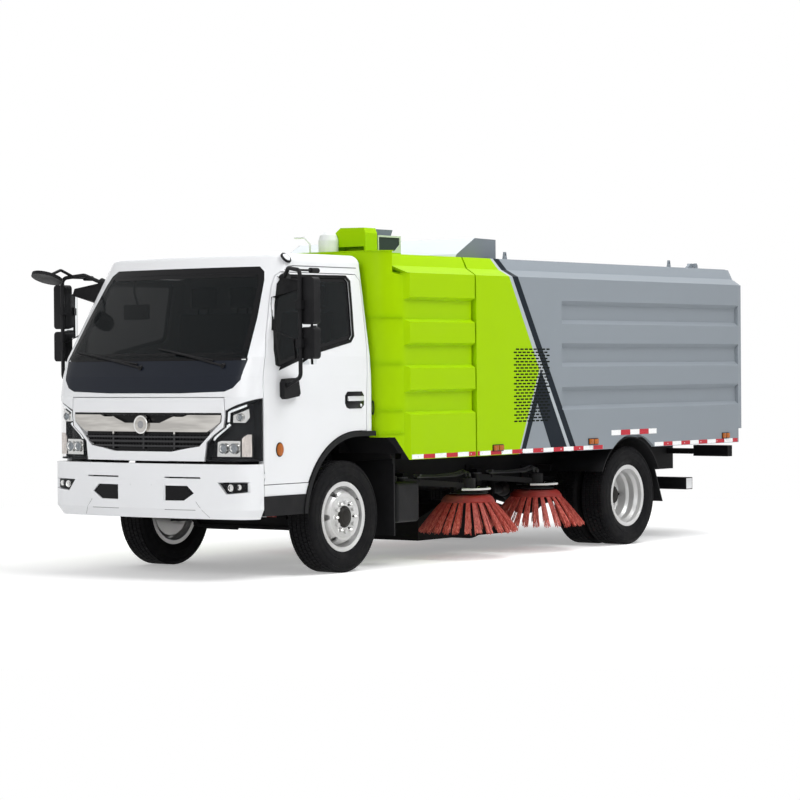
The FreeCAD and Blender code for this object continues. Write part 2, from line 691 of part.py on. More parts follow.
def build_power_unit():
    """Engine as one plain block, radiator, and the gearbox with the propeller shaft."""
    a = front_axle_y
    save("engine_block", box(-290, 290, a - 520, a + 300, 500, 1020))
    core = box(-335, 335, a - 900, a - 830, 560, 1030)
    core = core.cut(box(-305, 305, a - 901, a - 885, 590, 1000))
    mounts = box(330, rail_outer_x - rail_wall - seat_gap, a - 885, a - 845, 620, 650)
    save("radiator", fused(core, *pair(mounts)))
    case = prism_y([(-180, 540), (180, 540), (200, 640), (150, 780), (-150, 780), (-200, 640)],
                   a + 300 + seat_gap, a + 700)
    tail = Part.makeCone(150, 62, 260, V(0, a + 700, 655), V(0, 1, 0))
    shaft = bar((0, a + 950, 640), (0, rear_axle_y - 330, 470), 44)
    joints = [Part.makeSphere(66, V(0, a + 970, 638)), Part.makeSphere(66, V(0, rear_axle_y - 340, 471))]
    mounts = box(-rail_outer_x + rail_wall + seat_gap, rail_outer_x - rail_wall - seat_gap, a + 340, a + 400, 620, 670)
    line = fused(case, tail, shaft, mounts, *joints)
    save("driveline", line.cut(box(-200, 200, rear_axle_y - 320, rear_axle_y, 200, 800)))


def build_front_axle():
    """Dropped I-section beam with the kingpin eyes and the kingpins."""
    a = front_axle_y
    centre = tyre_radius
    low = centre - 70
    outline = [(-kingpin_x, centre - 42), (-560, centre - 42), (-470, low - 45), (470, low - 45), (560, centre - 42),
               (kingpin_x, centre - 42), (kingpin_x, centre + 42), (545, centre + 42), (455, low + 45),
               (-455, low + 45), (-545, centre + 42), (-kingpin_x, centre + 42)]
    beam = prism_y(outline, a - 42, a + 42)
    web = [(-530, centre - 18), (-450, low - 22), (450, low - 22), (530, centre - 18), (530, centre + 18),
           (440, low + 22), (-440, low + 22), (-530, centre + 18)]
    beam = beam.cut(prism_y(web, a - 43, a - 14)).cut(prism_y(web, a + 14, a + 43))
    pads = [box(x - 45, x + 45, a - 70, a + 70, low + 40, low + 62) for x in (-395, 395)]
    pins = []
    for x in (-kingpin_x, kingpin_x):
        eye = bar((x, a, centre - axle_eye_height / 2), (x, a, centre + axle_eye_height / 2), axle_eye_radius)
        reach = axle_eye_height / 2 + knuckle_ear + 2
        pins += [eye, bar((x, a, centre - reach), (x, a, centre + reach), kingpin_radius)]
    save("front_axle", fused(beam, *pads, *pins))


def build_springs():
    """Leaf springs, each a stack of bowed leaves with its hangers and clamp."""
    springs = []
    for y, half, seat, eye_z in ((front_axle_y, 560, tyre_radius - 70 + 62 + seat_gap, 520),
                                 (rear_axle_y, 640, tyre_radius + 78, 545)):
        pieces = []
        for step in range(4):
            reach = half * (1 - 0.22 * step)
            drop = seat + 12 * (3 - step)
            rise = (eye_z - seat - 36) * (reach / half) ** 2
            outer = Part.Arc(V(360, y - reach, drop + rise), V(360, y, drop), V(360, y + reach, drop + rise))
            inner = Part.Arc(V(360, y + reach, drop + rise + 12), V(360, y, drop + 12),
                             V(360, y - reach, drop + rise + 12))
            ends = [Part.LineSegment(V(360, y + reach, drop + rise), V(360, y + reach, drop + rise + 12)),
                    Part.LineSegment(V(360, y - reach, drop + rise + 12), V(360, y - reach, drop + rise))]
            wire = Part.Wire([outer.toShape(), ends[0].toShape(), inner.toShape(), ends[1].toShape()])
            pieces.append(Part.Face(wire).extrude(V(70, 0, 0)))
        for sign in (-1, 1):
            eye = bar((356, y + sign * half, eye_z), (434, y + sign * half, eye_z), 22)
            hanger = prism_x([(y + sign * half - 30, eye_z - 20), (y + sign * half + 30, eye_z - 20),
                              (y + sign * half + 45, rail_bottom + 12), (y + sign * half - 45, rail_bottom + 12)],
                             rail_outer_x + seat_gap, rail_outer_x + 14)
            bolt_on = box(rail_outer_x + seat_gap, rail_outer_x + 14, y + sign * half - 60, y + sign * half + 60,
                          rail_bottom + 10, rail_bottom + 110)
            shackle = bar((356, y + sign * half, eye_z), (rail_outer_x + 10, y + sign * half, eye_z), 18)
            pieces += [shackle, eye, hanger, bolt_on]
        clamp = box(352, 438, y - 55, y + 55, seat, seat + 62)
        springs.append(fused(clamp, *pieces))
    save("springs", *[s for spring in springs for s in pair(spring)])


def build_rear_axle():
    """Banjo housing with the differential and the axle tubes."""
    y = rear_axle_y
    z = tyre_radius
    bowl = Part.makeSphere(185, V(0, y, z)).common(box(-150, 150, y - 200, y + 150, z - 190, z + 190))
    nose = Part.makeCone(120, 62, 180, V(0, y - 130, z + 14), V(0, -1, 0.14))
    tube = bar((-560, y, z), (560, y, z), 62)
    tapers = [Part.makeCone(62, 110, 200, V(s * 330, y, z), V(-s, 0, 0)) for s in (1, -1)]
    stubs = bar((-rear_track / 2 - 80, y, z), (rear_track / 2 + 80, y, z), spindle_radius)
    pads = [box(s - 40, s + 40, y - 60, y + 60, z + 40, z + 78 - seat_gap) for s in (-395, 395)]
    save("rear_axle", fused(bowl, nose, tube, stubs, *tapers, *pads))


def build_knuckle(name, side):
    """Steering knuckle: two ears round the axle eye, the wheel spindle and the steering arm."""
    a = front_axle_y
    z = tyre_radius
    ear_low = axle_eye_height / 2 + 1.0
    ear_high = ear_low + knuckle_ear
    ears = []
    for sign in (1, -1):
        low, high = sorted((z + sign * ear_low, z + sign * ear_high))
        ears.append(bar((kingpin_x, a, low), (kingpin_x, a, high), axle_eye_radius))
        ears.append(box(kingpin_x, kingpin_x + 62, a - 34, a + 34, low, high))
    web = box(kingpin_x + 44, kingpin_x + 66, a - 44, a + 44, z - ear_high, z + ear_high)
    spindle = bar((kingpin_x + 60, a, z), (front_track / 2 + 70, a, z), spindle_radius)
    arm = prism_z([(kingpin_x - 32, a + 20), (kingpin_x + 32, a + 20), (kingpin_x + 18, a + steering_arm_length + 18),
                   (kingpin_x - 18, a + steering_arm_length + 18)], z - ear_high, z - ear_high + 24)
    body = fused(*ears, web, spindle, arm)
    body = body.cut(bar((kingpin_x, a, z - 200), (kingpin_x, a, z + 200), kingpin_radius + pin_clearance))
    ball = bar((kingpin_x, a + steering_arm_length, z - ear_high + 1),
               (kingpin_x, a + steering_arm_length, z - ear_high - 44), ball_radius)
    body = fused(body, ball)
    save("knuckle_" + name, body if side > 0 else mirrored(body))


def build_tie_rod():
    """Tie rod behind the axle, with an eye at each end."""
    y = front_axle_y + steering_arm_length
    top = tyre_radius - axle_eye_height / 2 - 1.0 - knuckle_ear - 10
    end_x = kingpin_x
    tube = bar((-end_x + 20, y, top - 16), (end_x - 20, y, top - 16), tie_rod_radius)
    eyes = [bar((s * end_x, y, top - 32), (s * end_x, y, top), 27) for s in (1, -1)]
    rod = fused(tube, *eyes)
    rod = rod.cut(bar((end_x, y, top - 60), (end_x, y, top + 20), ball_radius + pin_clearance))
    rod = rod.cut(bar((-end_x, y, top - 60), (-end_x, y, top + 20), ball_radius + 1))
    save("tie_rod", rod)


def tyre_solid(centre):
    """A tyre on its rim: bead, bulged side walls, shoulders and tread."""
    w = tyre_width / 2
    bead_x = rim_width / 2 - 10 - seat_gap
    bead_radius = rim_flange_radius - 22 + seat_gap
    half = [(bead_x - 24, bead_radius), (bead_x, bead_radius), (bead_x, rim_flange_radius + 2), (w - 8, 298.0),
            (w, 336.0), (w - 4, 374.0), (w - 17, tyre_radius - 16), (w - 34, tyre_radius - 5), (w - 62, tyre_radius)]
    return revolved(half + [(-x, r) for x, r in reversed(half)], centre)


def rim_profile(face_x, plate_x):
    """Half section of a disc wheel: flanges, well, and the disc from barrel to hub face."""
    h = rim_width / 2
    f = rim_flange_radius
    s = rim_well_radius
    t = rim_wall
    barrel = [(-h, f), (-h + 10, f), (-h + 10, f - 22), (-h + 34, f - 24), (-h + 58, s), (h - 62, s),
              (h - 36, f - 24), (h - 10, f - 22), (h - 10, f), (h, f), (h, f - 30), (h - 34, f - 33),
              (h - 64, s - t), (-h + 60, s - t), (-h + 34, f - 33), (-h, f - 30)]
    side = 1 if face_x > plate_x else -1
    disc = [(plate_x, s - t + 2), (plate_x + side * 26, 206), (face_x - side * 16, 190), (face_x, 176),
            (face_x, hub_radius), (face_x - side * 12, hub_radius), (face_x - side * 12, 170), (face_x - side * 28, 182),
            (plate_x + side * 12, 197), (plate_x - side * 14, s - t + 2)]
    return barrel, disc


def wheel_solid(centre, face_x, plate_x, drum_inner, drum_outer):
    """A steel disc wheel with its nuts, hand holes, hub and brake drum."""
    barrel, disc = rim_profile(face_x, plate_x)
    body = fused(revolved(barrel, (0, 0, 0)), revolved(disc, (0, 0, 0)))
    for k in range(stud_count):
        angle = 2 * math.pi * (k + 0.5) / stud_count
        c = V(0, 196 * math.sin(angle), 196 * math.cos(angle))
        low = min(face_x, plate_x) - 40
        body = body.cut(Part.makeCylinder(hand_hole_radius, abs(face_x - plate_x) + 80, V(low, c.y, c.z), V(1, 0, 0)))
    pieces = [body]
    for k in range(stud_count):
        angle = 2 * math.pi * k / stud_count
        c = V(face_x - 1, stud_circle_radius * math.sin(angle), stud_circle_radius * math.cos(angle))
        pieces.append(Part.makeCylinder(nut_radius, 24, c, V(1, 0, 0)))
    hub_end = face_x + 18
    bore = spindle_radius + pin_clearance
    hub = revolved([(drum_inner, bore), (drum_inner, brake_drum_radius), (drum_outer, brake_drum_radius),
                    (drum_outer, 150), (face_x - 12, 150), (face_x - 12, hub_radius - 1), (face_x + 2, hub_radius - 6),
                    (hub_end, 52), (hub_end, 0), (hub_end - 14, 0), (hub_end - 14, bore)], (0, 0, 0))
    whole = fused(*pieces, hub)
    whole.translate(V(*centre))
    return whole


def build_wheels():
    """Single front wheels and twin rear wheels, each side on its own hub."""
    front_x = front_track / 2
    front_disc = wheel_solid((front_x, front_axle_y, tyre_radius), rim_width / 2 + 12, 30.0, -62.0, 40.0)
    front_tyre = tyre_solid((front_x, front_axle_y, tyre_radius))
    outer_x = rear_track / 2 + dual_spacing / 2
    inner_x = rear_track / 2 - dual_spacing / 2
    outer_disc = twin_wheel((outer_x, rear_axle_y, tyre_radius), (inner_x, rear_axle_y, tyre_radius))
    rear_tyres = [tyre_solid((x, rear_axle_y, tyre_radius)) for x in (outer_x, inner_x)]
    for name, side in (("left", 1), ("right", -1)):
        turn = (lambda s: s) if side > 0 else mirrored
        save("wheel_front_" + name, turn(front_disc))
        save("tyre_front_" + name, turn(front_tyre))
        save("wheels_rear_" + name, turn(outer_disc))
        save("tyres_rear_" + name, *[turn(t) for t in rear_tyres])


def twin_wheel(outer, inner):
    """Two disc wheels bolted back to back on one hub, the outer one dished inwards."""
    face = -dual_spacing / 2 + 6
    barrel, disc = rim_profile(face, -30.0)
    pieces = []
    for centre, flip in ((outer, False), (inner, True)):
        rim = fused(revolved(barrel, (0, 0, 0)), revolved(disc, (0, 0, 0)))
        for k in range(stud_count):
            angle = 2 * math.pi * (k + 0.5) / stud_count
            low = V(-160, 170 * math.sin(angle), 170 * math.cos(angle))
            rim = rim.cut(Part.makeCylinder(hand_hole_radius, 200, low, V(1, 0, 0)))
        if flip:
            rim = mirrored(rim)
        rim.translate(V(*centre))
        pieces.append(rim)
    mid_x = (outer[0] + inner[0]) / 2
    web = revolved([(-6, hub_radius), (-6, 150), (6, 150), (6, hub_radius)], (mid_x, outer[1], outer[2]))
    drum_x = inner[0] - mid_x - rim_width / 2
    bore = spindle_radius + pin_clearance
    hub = revolved([(drum_x, bore), (drum_x, brake_drum_radius), (-50, brake_drum_radius), (-50, 140), (-12, 140),
                    (-12, hub_radius + 8), (30, hub_radius + 8), (30, hub_radius - 8), (96, hub_radius - 14),
                    (104, 46), (104, 0), (96, 0), (84, bore)], (mid_x, outer[1], outer[2]))
    nuts = [Part.makeCylinder(nut_radius, 30, V(mid_x + 14, outer[1] + stud_circle_radius * math.sin(k * math.pi / 3),
                                               outer[2] + stud_circle_radius * math.cos(k * math.pi / 3)), V(1, 0, 0))
            for k in range(stud_count)]
    plate = revolved([(4, hub_radius - 2), (4, 150), (16, 150), (16, hub_radius - 2)], (mid_x, outer[1], outer[2]))
    return fused(*pieces, web, hub, plate, *nuts)


def build_tanks():
    """Fuel tank on the right, fluid tank and air reservoirs on the left, hung from the rails."""
    a = front_axle_y
    fuel = box(-1000, -520, a + 680, a + 1220, 400, 760)
    fuel = fuel.makeFillet(50, [e for e in fuel.Edges if abs(e.Vertexes[0].Y - e.Vertexes[-1].Y) > 1])
    straps = [box(-rail_outer_x - 100, -rail_outer_x - seat_gap, y - 20, y + 20, 600, 780) for y in (a + 780, a + 1120)]
    fluid = box(560, 960, a + 640, a + 940, 340, 650)
    fluid = fluid.makeFillet(30, fluid.Edges)
    cap = bar((800, a + 780, 640), (800, a + 780, 690), 45)
    shelf = box(rail_outer_x + seat_gap, 700, a + 700, a + 900, 600, 640)
    plate = box(rail_outer_x + seat_gap, rail_outer_x + 16, a + 690, a + 910, 600, 760)
    save("tanks", fused(fuel, *straps), fused(fluid, cap, shelf, plate))


def bumper_outline(inset, z):
    """A plan outline of the bumper at one level."""
    bow = 62.0
    half = cab_half_width + 3
    y0 = front_y + inset
    side_x = half - inset
    corner_x = side_x - 160
    arc = Part.Arc(V(-corner_x, y0 + bow, z), V(0, y0, z), V(corner_x, y0 + bow, z)).toShape()
    corner = Part.BezierCurve()
    corner.setPoles([V(corner_x, y0 + bow, z), V(side_x, y0 + bow + 14, z), V(side_x, y0 + bow + 130, z)])
    corner = corner.toShape()
    back_y = door_front_y - 12
    side = Part.LineSegment(V(side_x, y0 + bow + 130, z), V(side_x, back_y, z)).toShape()
    far = [e.mirror(V(0, 0, 0), V(1, 0, 0)) for e in (side, corner)]
    close = Part.LineSegment(V(side_x, back_y, z), V(-side_x, back_y, z)).toShape()
    return Part.Wire([arc, corner, side, close] + far)


def bumper_block(inset, low, high):
    """The bumper's plan area between two levels."""
    return Part.Face(bumper_outline(inset, low)).extrude(V(0, 0, high - low))


def fog_lamp_outline(side, grow=0.0):
    """Front view of one fog lamp, at the bumper's corner."""
    return [(side * (773 - grow), 631 - grow), (side * 985, 650 - grow), (side * 985, 722 + grow),
            (side * (700 - grow), 716 + grow)]


def fog_lamp_lenses():
    """The two fog lamps, set a little back from the bumper's face."""
    layer = bumper_block(6, 600, 800).cut(bumper_block(50, 590, 810))
    return [layer.common(prism_y(fog_lamp_outline(side), front_y - 50, fog_back_y - seat_gap)) for side in (1, -1)]


def build_bumper():
    """Painted front bumper, bowed in plan, with its air openings and lamps."""
    top = cab_lower_z - 16
    low = 448.0
    form = fused(Part.makeLoft([bumper_outline(34, low), bumper_outline(0, low + 70)], True, True),
                 bumper_block(0, low + 70, top))
    form = form.cut(bumper_block(bumper_wall, low - 10, top + 20))
    form = form.fuse(box(-plate_pad_half, plate_pad_half, front_y, front_y + 30, plate_pad_low, plate_pad_high))
    for side in (1, -1):
        vent = [(side * 230, 578), (side * 404, 580), (side * 495, 635), (side * 435, 688), (side * 230, 688)]
        slot = [(side * 226, 741), (side * 556, 741), (side * 550, 752), (side * 226, 752)]
        form = form.cut(prism_y(vent, front_y - 50, front_y + 200)).cut(prism_y(slot, front_y - 50, front_y + 200))
        form = form.cut(prism_y(fog_lamp_outline(side, seat_gap), front_y - 50, fog_back_y))
    for x in (-plate_spacing / 2, plate_spacing / 2):
        form = form.cut(bar((x, front_y - 20, plate_z), (x, front_y + 100, plate_z), plate_hole_radius))
    save("bumper", form.removeSplitter())


def build_cab_underframe():
    """Cross beam that carries the bumper and the cab's front, with the two eyes of the tilt hinge."""
    beam = box(-350, 350, front_y + 30, cab_pivot_y - 15, 560, 800)
    beam = beam.common(bumper_block(bumper_wall + seat_gap, 500, 900))
    eyes = []
    for x in (-300, 300):
        plate = prism_x([(cab_pivot_y - 30, 780), (cab_pivot_y - 40, 570), (cab_pivot_y, cab_pivot_z - 38),
                         (cab_pivot_y + 38, cab_pivot_z), (cab_pivot_y + 24, cab_pivot_z + 34)], x - 12, x + 12)
        ring = bar((x - 18, cab_pivot_y, cab_pivot_z), (x + 18, cab_pivot_y, cab_pivot_z), 38)
        strut = box(x - 30, x + 30, front_y + 72, front_y + 105, 700, cab_floor_z - cab_floor_thickness - seat_gap)
        eyes += [plate, ring, strut]
    whole = fused(beam, *eyes)
    whole = whole.cut(bar((-400, cab_pivot_y, cab_pivot_z), (400, cab_pivot_y, cab_pivot_z),
                          cab_pivot_radius + pin_clearance))
    save("cab_underframe", whole)


def cab_pivot():
    """The tube that the cab tilts on, held by a plate on each rail."""
    tube = bar((-rail_outer_x - 5, cab_pivot_y, cab_pivot_z), (rail_outer_x + 5, cab_pivot_y, cab_pivot_z),
               cab_pivot_radius)
    plate = prism_x([(cab_pivot_y - 30, cab_pivot_z - 24), (cab_pivot_y + 30, rail_bottom + 12),
                     (cab_pivot_y + 150, rail_bottom + 12), (cab_pivot_y + 150, rail_top - 60),
                     (cab_pivot_y + 20, rail_top - 60), (cab_pivot_y - 30, cab_pivot_z + 24)],
                    rail_outer_x + seat_gap, rail_outer_x + 12)
    return fused(tube, *pair(plate))


def build_mudflaps():
    """Flaps behind the front wheels, and guards over the rear wheels."""
    a = front_axle_y
    flap = box(600, 968, a + 590, a + 606, 245, 875)
    arm = box(rail_outer_x + seat_gap, 968, a + 575, a + 590, 800, 840)
    plate = box(rail_outer_x + seat_gap, rail_outer_x + 14, a + 575, a + 640, 720, 840)
    front = fused(flap, arm, plate)
    r = rear_axle_y
    guard = bar((570, r, tyre_radius), (1100, r, tyre_radius), rear_arch_radius - 25)
    guard = guard.cut(bar((560, r, tyre_radius), (1110, r, tyre_radius), rear_arch_radius - 33))
    guard = guard.common(box(560, 1110, r - 600, r + 600, 640, 1000))
    tail = prism_x([(r + 438, 660), (r + 448, 660), (r + 586, 345), (r + 576, 345)], 570, 1060)
    hang = box(rail_outer_x + seat_gap, 580, r + 430, r + 470, 640, 690)
    rear = fused(guard, tail, hang)
    stay = box(rail_outer_x + seat_gap, 580, r - 470, r - 430, 640, 690)
    rear = fused(rear, stay)
    save("mudflaps", *pair(front), *pair(rear))


def build_underrun():
    """Rear under-run bar on two drop brackets, with the tail lamp boxes."""
    r = front_axle_y
    beam = box(-1050, 1050, r + 4800, r + 4910, 430, 535)
    beam = beam.cut(box(-1040, 1040, r + 4806, r + 4911, 436, 529))
    web = box(-1040, 1040, r + 4806, r + 4812, 436, 529)
    drops = pair(box(rail_outer_x + seat_gap, rail_outer_x + 16, r + 4800, r + 4900, 500, 760))
    lamp = box(690, 1050, hopper_rear_y - 60, hopper_rear_y + 20, 700, 800)
    arm = box(rail_outer_x + seat_gap, 700, hopper_rear_y - 100, hopper_rear_y - 50, 720, 770)
    save("underrun_and_tail_lamps", fused(beam, web, *drops), *pair(fused(lamp, arm)))


# Sweeper body

def body_section(inset=0.0, bottom=body_bottom):
    """Front view of the body: upright sides, two shoulder slopes and a slightly crowned roof."""
    half = body_half_width - inset
    right = [(half, bottom), (half, body_side_top - inset * 0.6), (half - 85, body_side_top + 55 - inset),
             (half - 130, body_roof_z - inset), (0, body_roof_z + 20 - inset)]
    return right + [(-x, z) for x, z in reversed(right[:-1])]


gate_hinge_xs = (-640.0, 0.0, 640.0)
groove_levels = ((1880.0, 2072.0), (1528.0, 1722.0), (1172.0, 1364.0))


def build_water_tank():
    """Front body module: a closed tank with rounded front corners, raised side panels and a roof intake hood."""
    core = prism_y(body_section(groove_depth, subframe_top + seat_gap), tank_front_y, tank_rear_y)
    plan = rounded_plan(tank_corner_radius)
    core = core.common(plan)
    start = tank_front_y + tank_corner_radius
    notch = prism_x([(tank_front_y - 10, 0), (start - 46, 0), (start - 46, body_bottom), (tank_front_y + 50, 1000),
                     (tank_front_y - 10, 1000)], 600, 1200)
    core = core.cut(notch).cut(mirrored(notch))
    nose = plan.common(box(-2000, 2000, tank_front_y - 10, start - 118, body_side_top - 60, deck_z - lip_thickness))
    wide_plan = rounded_plan(tank_corner_radius + lip_reach, lip_reach)
    pieces = [core, nose]
    for z in [deck_z - lip_thickness - 1] + [low + groove_depth for low, _ in groove_levels] + [1032.0]:
        rear_y = start - 118 if z > body_side_top else start - 40
        pieces.append(wide_plan.common(box(-2000, 2000, tank_front_y - 100, rear_y, z, z + lip_thickness)))
    edges_z = [body_bottom] + [z for pair_z in reversed(groove_levels) for z in pair_z] + [body_side_top]
    for low, high in zip(edges_z[::2], edges_z[1::2]):
        base_low = low if low == body_bottom else low - groove_depth
        base_high = high + (0 if high == body_side_top else groove_depth)
        panel = frustum_x(body_half_width - groove_depth - 20, rectangle(start - 46, tank_rear_y, base_low, base_high),
                          body_half_width, rectangle(start + 8, tank_rear_y, low, high))
        pieces += pair(panel)
    shoulder = prism_y(body_section(0.0, body_side_top), start - 118, tank_rear_y)
    shoulder = shoulder.cut(prism_x([(start - 130, 2200), (start + 8, 2200), (start - 14, body_side_top - 3),
                                     (start - 115, body_side_top + 53), (start - 130, body_side_top + 53)],
                                    -1200, 1200))
    shoulder = shoulder.cut(prism_y(body_section(groove_depth + 20, 0), front_y, rear_y))
    skirt_wall = box(body_half_width - groove_depth - 20, body_half_width - groove_depth, start - 20, tank_rear_y,
                     body_bottom, subframe_top + 20)
    pieces += [shoulder] + pair(skirt_wall)
    save("water_tank", fused(*pieces, *roof_gear()))


def roof_gear():
    """What stands on the front module: intake hood with its duct, side screen, filter dome and vent pipe."""
    x0, x1 = hood_sides
    y0 = tank_front_y + 190
    y1 = y0 + 150
    foot = body_roof_z + 2
    hood = prism_y([(x0, foot), (x1 + 16, foot), (x1 + 16, 2572), (x1, 2612), (x0 + 49, 2616), (x0, 2580)], y0, y1)
    hood = hood.cut(box(x0 + 14, x1 + 2, y0 - 1, y1 - 40, deck_z + 4, deck_z + 42))
    duct = prism_x([(y1 - 1, 2530), (y1 + 205, 2546), (y1 + 235, 2606), (y1 - 1, 2606)], x0 + 90, x1 - 10)
    screen = box(x1 - 16, x1 + 6, y1 + 23, y1 + 319, foot, 2560)
    screen = screen.cut(prism_x([(y1 + 37, 2442), (y1 + 240, 2442), (y1 + 303, 2492), (y1 + 303, 2546),
                                 (y1 + 37, 2546)], x1 - 2, x1 + 10))
    dome = turned([(0, foot), (78, foot), (78, 2520), (66, 2560), (38, 2584), (0, 2590)], (x0 - 40, y0 - 40, 0))
    hook = bent_tube([(x0 - 175, y0 - 100, foot), (x0 - 175, y0 - 100, 2500), (x0 - 225, y0 - 105, 2548),
                      (x0 - 320, y0 - 110, 2548)], 8, 28)
    return [hood, duct, screen, dome, hook]


def rounded_plan(radius, grow=0.0):
    """A plan block of the front module with rounded front corners."""
    half = body_half_width - groove_depth + grow
    bulk = box(-half, half, tank_front_y - grow, tank_rear_y, 0, 3000)
    edges = [e for e in bulk.Edges
             if abs(e.Vertexes[0].Z - e.Vertexes[-1].Z) > 1 and e.Vertexes[0].Y < tank_front_y + 1]
    return bulk.makeFillet(radius, edges)


def build_hopper():
    """Tipping dust hopper: floor, walls and roof in one shell, open at the back, with pressed side grooves."""
    shell = prism_y(body_section(), hopper_front_y, hopper_rear_y)
    cavity = prism_y(body_section(body_wall, hopper_floor_z + hopper_floor_thickness), hopper_front_y + body_wall,
                     hopper_rear_y + 10)
    below = box(-body_half_width + 30, body_half_width - 30, hopper_front_y - 1, hopper_rear_y + 1, 0, hopper_floor_z)
    shell = shell.cut(cavity).cut(below)
    shell = shell.cut(bar((-2000, rear_axle_y, tyre_radius), (2000, rear_axle_y, tyre_radius), rear_arch_radius))
    start = front_axle_y + 2695
    for low, high in groove_levels:
        outer = rectangle(start, hopper_rear_y + 50, low, high)
        inner = rectangle(start + 4, hopper_rear_y + 50, low + groove_depth, high - groove_depth)
        groove = frustum_x(body_half_width + 1, outer, body_half_width - groove_depth, inner)
        shell = shell.cut(groove).cut(mirrored(groove))
    runners = [box(s * 395 - 30, s * 395 + 30, hopper_front_y + 60, hopper_rear_y - 260, subframe_top + seat_gap,
                   hopper_floor_z + 1) for s in (1, -1)]
    ear = box(rail_outer_x - subframe_width + 24 + running_gap, rail_outer_x - subframe_width + 60,
              tip_hinge_y - 40, tip_hinge_y + 40, tip_hinge_z - 32, hopper_floor_z + 10)
    ear = ear.cut(bar((0, tip_hinge_y, tip_hinge_z), (1000, tip_hinge_y, tip_hinge_z), tip_pin_radius + pin_clearance))
    lugs = [box(x, x + 12, tip_pin_y - 40, tip_pin_y + 40, tip_pin_z - 36, hopper_floor_z + 1)
            for x in (tip_x - tip_lug_gap / 2 - 12, tip_x + tip_lug_gap / 2)]
    lift_pin = bar((tip_x - tip_lug_gap / 2 - 12, tip_pin_y, tip_pin_z),
                   (tip_x + tip_lug_gap / 2 + 12, tip_pin_y, tip_pin_z), tip_eye_bore - 1)
    hinges = []
    for x in gate_hinge_xs:
        stand = prism_x([(hopper_rear_y - 150, body_roof_z - 20), (hopper_rear_y, body_roof_z - 20),
                         (hopper_rear_y, gate_hinge_z - 24), (gate_hinge_y + 20, gate_hinge_z - 6),
                         (gate_hinge_y + 20, gate_hinge_z + 16), (hopper_rear_y - 20, gate_hinge_z + 20)],
                        x - 14, x + 14)
        hinges += [stand, bar((x - 46, gate_hinge_y, gate_hinge_z), (x + 46, gate_hinge_y, gate_hinge_z), 12)]
    for y in lifting_lug_ys:
        eye = prism_x([(y - 26, body_roof_z - 4), (y + 26, body_roof_z - 4), (y + 12, body_roof_z + 62),
                       (y - 12, body_roof_z + 62)], 940, 954)
        hinges += pair(eye.cut(bar((930, y, body_roof_z + 40), (960, y, body_roof_z + 40), 11)))
    pieces = [shell] + runners + pair(ear) + [p for lug in lugs for p in pair(lug)] + pair(lift_pin) + hinges
    save("hopper_shell", fused(*pieces))


def build_roof_cowl():
    """Wedge-shaped cowl across the hopper's roof, with lifting eyes."""
    y0 = hopper_front_y + 45
    foot = body_roof_z + seat_gap
    wedge = prism_x([(y0, foot), (y0 + 560, foot), (y0 + 560, 2560), (y0 + 270, 2565), (y0 + 20, 2430)], -900, 900)
    roof = prism_y(body_section(), hopper_front_y, hopper_rear_y)
    save("roof_cowl", wedge.cut(roof))


def build_tip_cylinders():
    """Two lift cylinders: barrels on a cross shaft, and rods that end in open eyes."""
    base = V(tip_x, tip_base_y, tip_base_z)
    pin = V(tip_x, tip_pin_y, tip_pin_z)
    along = (pin - base).normalize()
    length = (pin - base).Length
    barrel = Part.makeCylinder(52, length - 110, base + along * 20, along)
    barrel = barrel.cut(Part.makeCylinder(34, length, base + along * 90, along))
    eye = bar((tip_x - 30, base.y, base.z), (tip_x + 30, base.y, base.z), 40)
    barrel = fused(barrel, eye).cut(bar((0, base.y, base.z), (500, base.y, base.z), tip_eye_bore))
    save("tip_barrels", *pair(barrel))
    rod = Part.makeCylinder(24, length - 95, base + along * 95, along)
    piston = Part.makeCylinder(34 - pin_clearance, 60, base + along * 95, along)
    rod_eye = bar((tip_x - 28, pin.y, pin.z), (tip_x + 28, pin.y, pin.z), 34)
    rod = fused(rod, piston, rod_eye).cut(bar((0, pin.y, pin.z), (500, pin.y, pin.z), tip_eye_bore))
    save("tip_rods", *pair(rod))


def build_tailgate():
    """Rear door of the hopper, hung from its top edge, with stiffening ribs."""
    y0 = hopper_rear_y + 5
    leaf = prism_y(body_section(4.0, hopper_floor_z + 5), y0, y0 + tailgate_thickness - 5)
    ribs = [box(x - 40, x + 40, y0 + 50, rear_y, 1010, 2150) for x in (-700, 0, 700)]
    cross = [box(-900, 900, y0 + 50, rear_y - 5, z - 35, z + 35) for z in (1045, 1560, 2120)]
    ears = []
    for x in gate_hinge_xs:
        for x0 in (x - 44, x + 20):
            ear = prism_x([(y0 + 8, body_roof_z - 40), (y0 + 54, body_roof_z - 40), (gate_hinge_y + 26, gate_hinge_z),
                           (gate_hinge_y + 10, gate_hinge_z + 22), (gate_hinge_y - 14, gate_hinge_z + 20),
                           (gate_hinge_y - 16, gate_hinge_z - 10)], x0, x0 + 24)
            ears.append(ear.cut(bar((x - 60, gate_hinge_y, gate_hinge_z), (x + 60, gate_hinge_y, gate_hinge_z),
                                    12 + pin_clearance)))
    save("tailgate", fused(leaf, *ribs, *cross, *ears))


# Sweeping gear

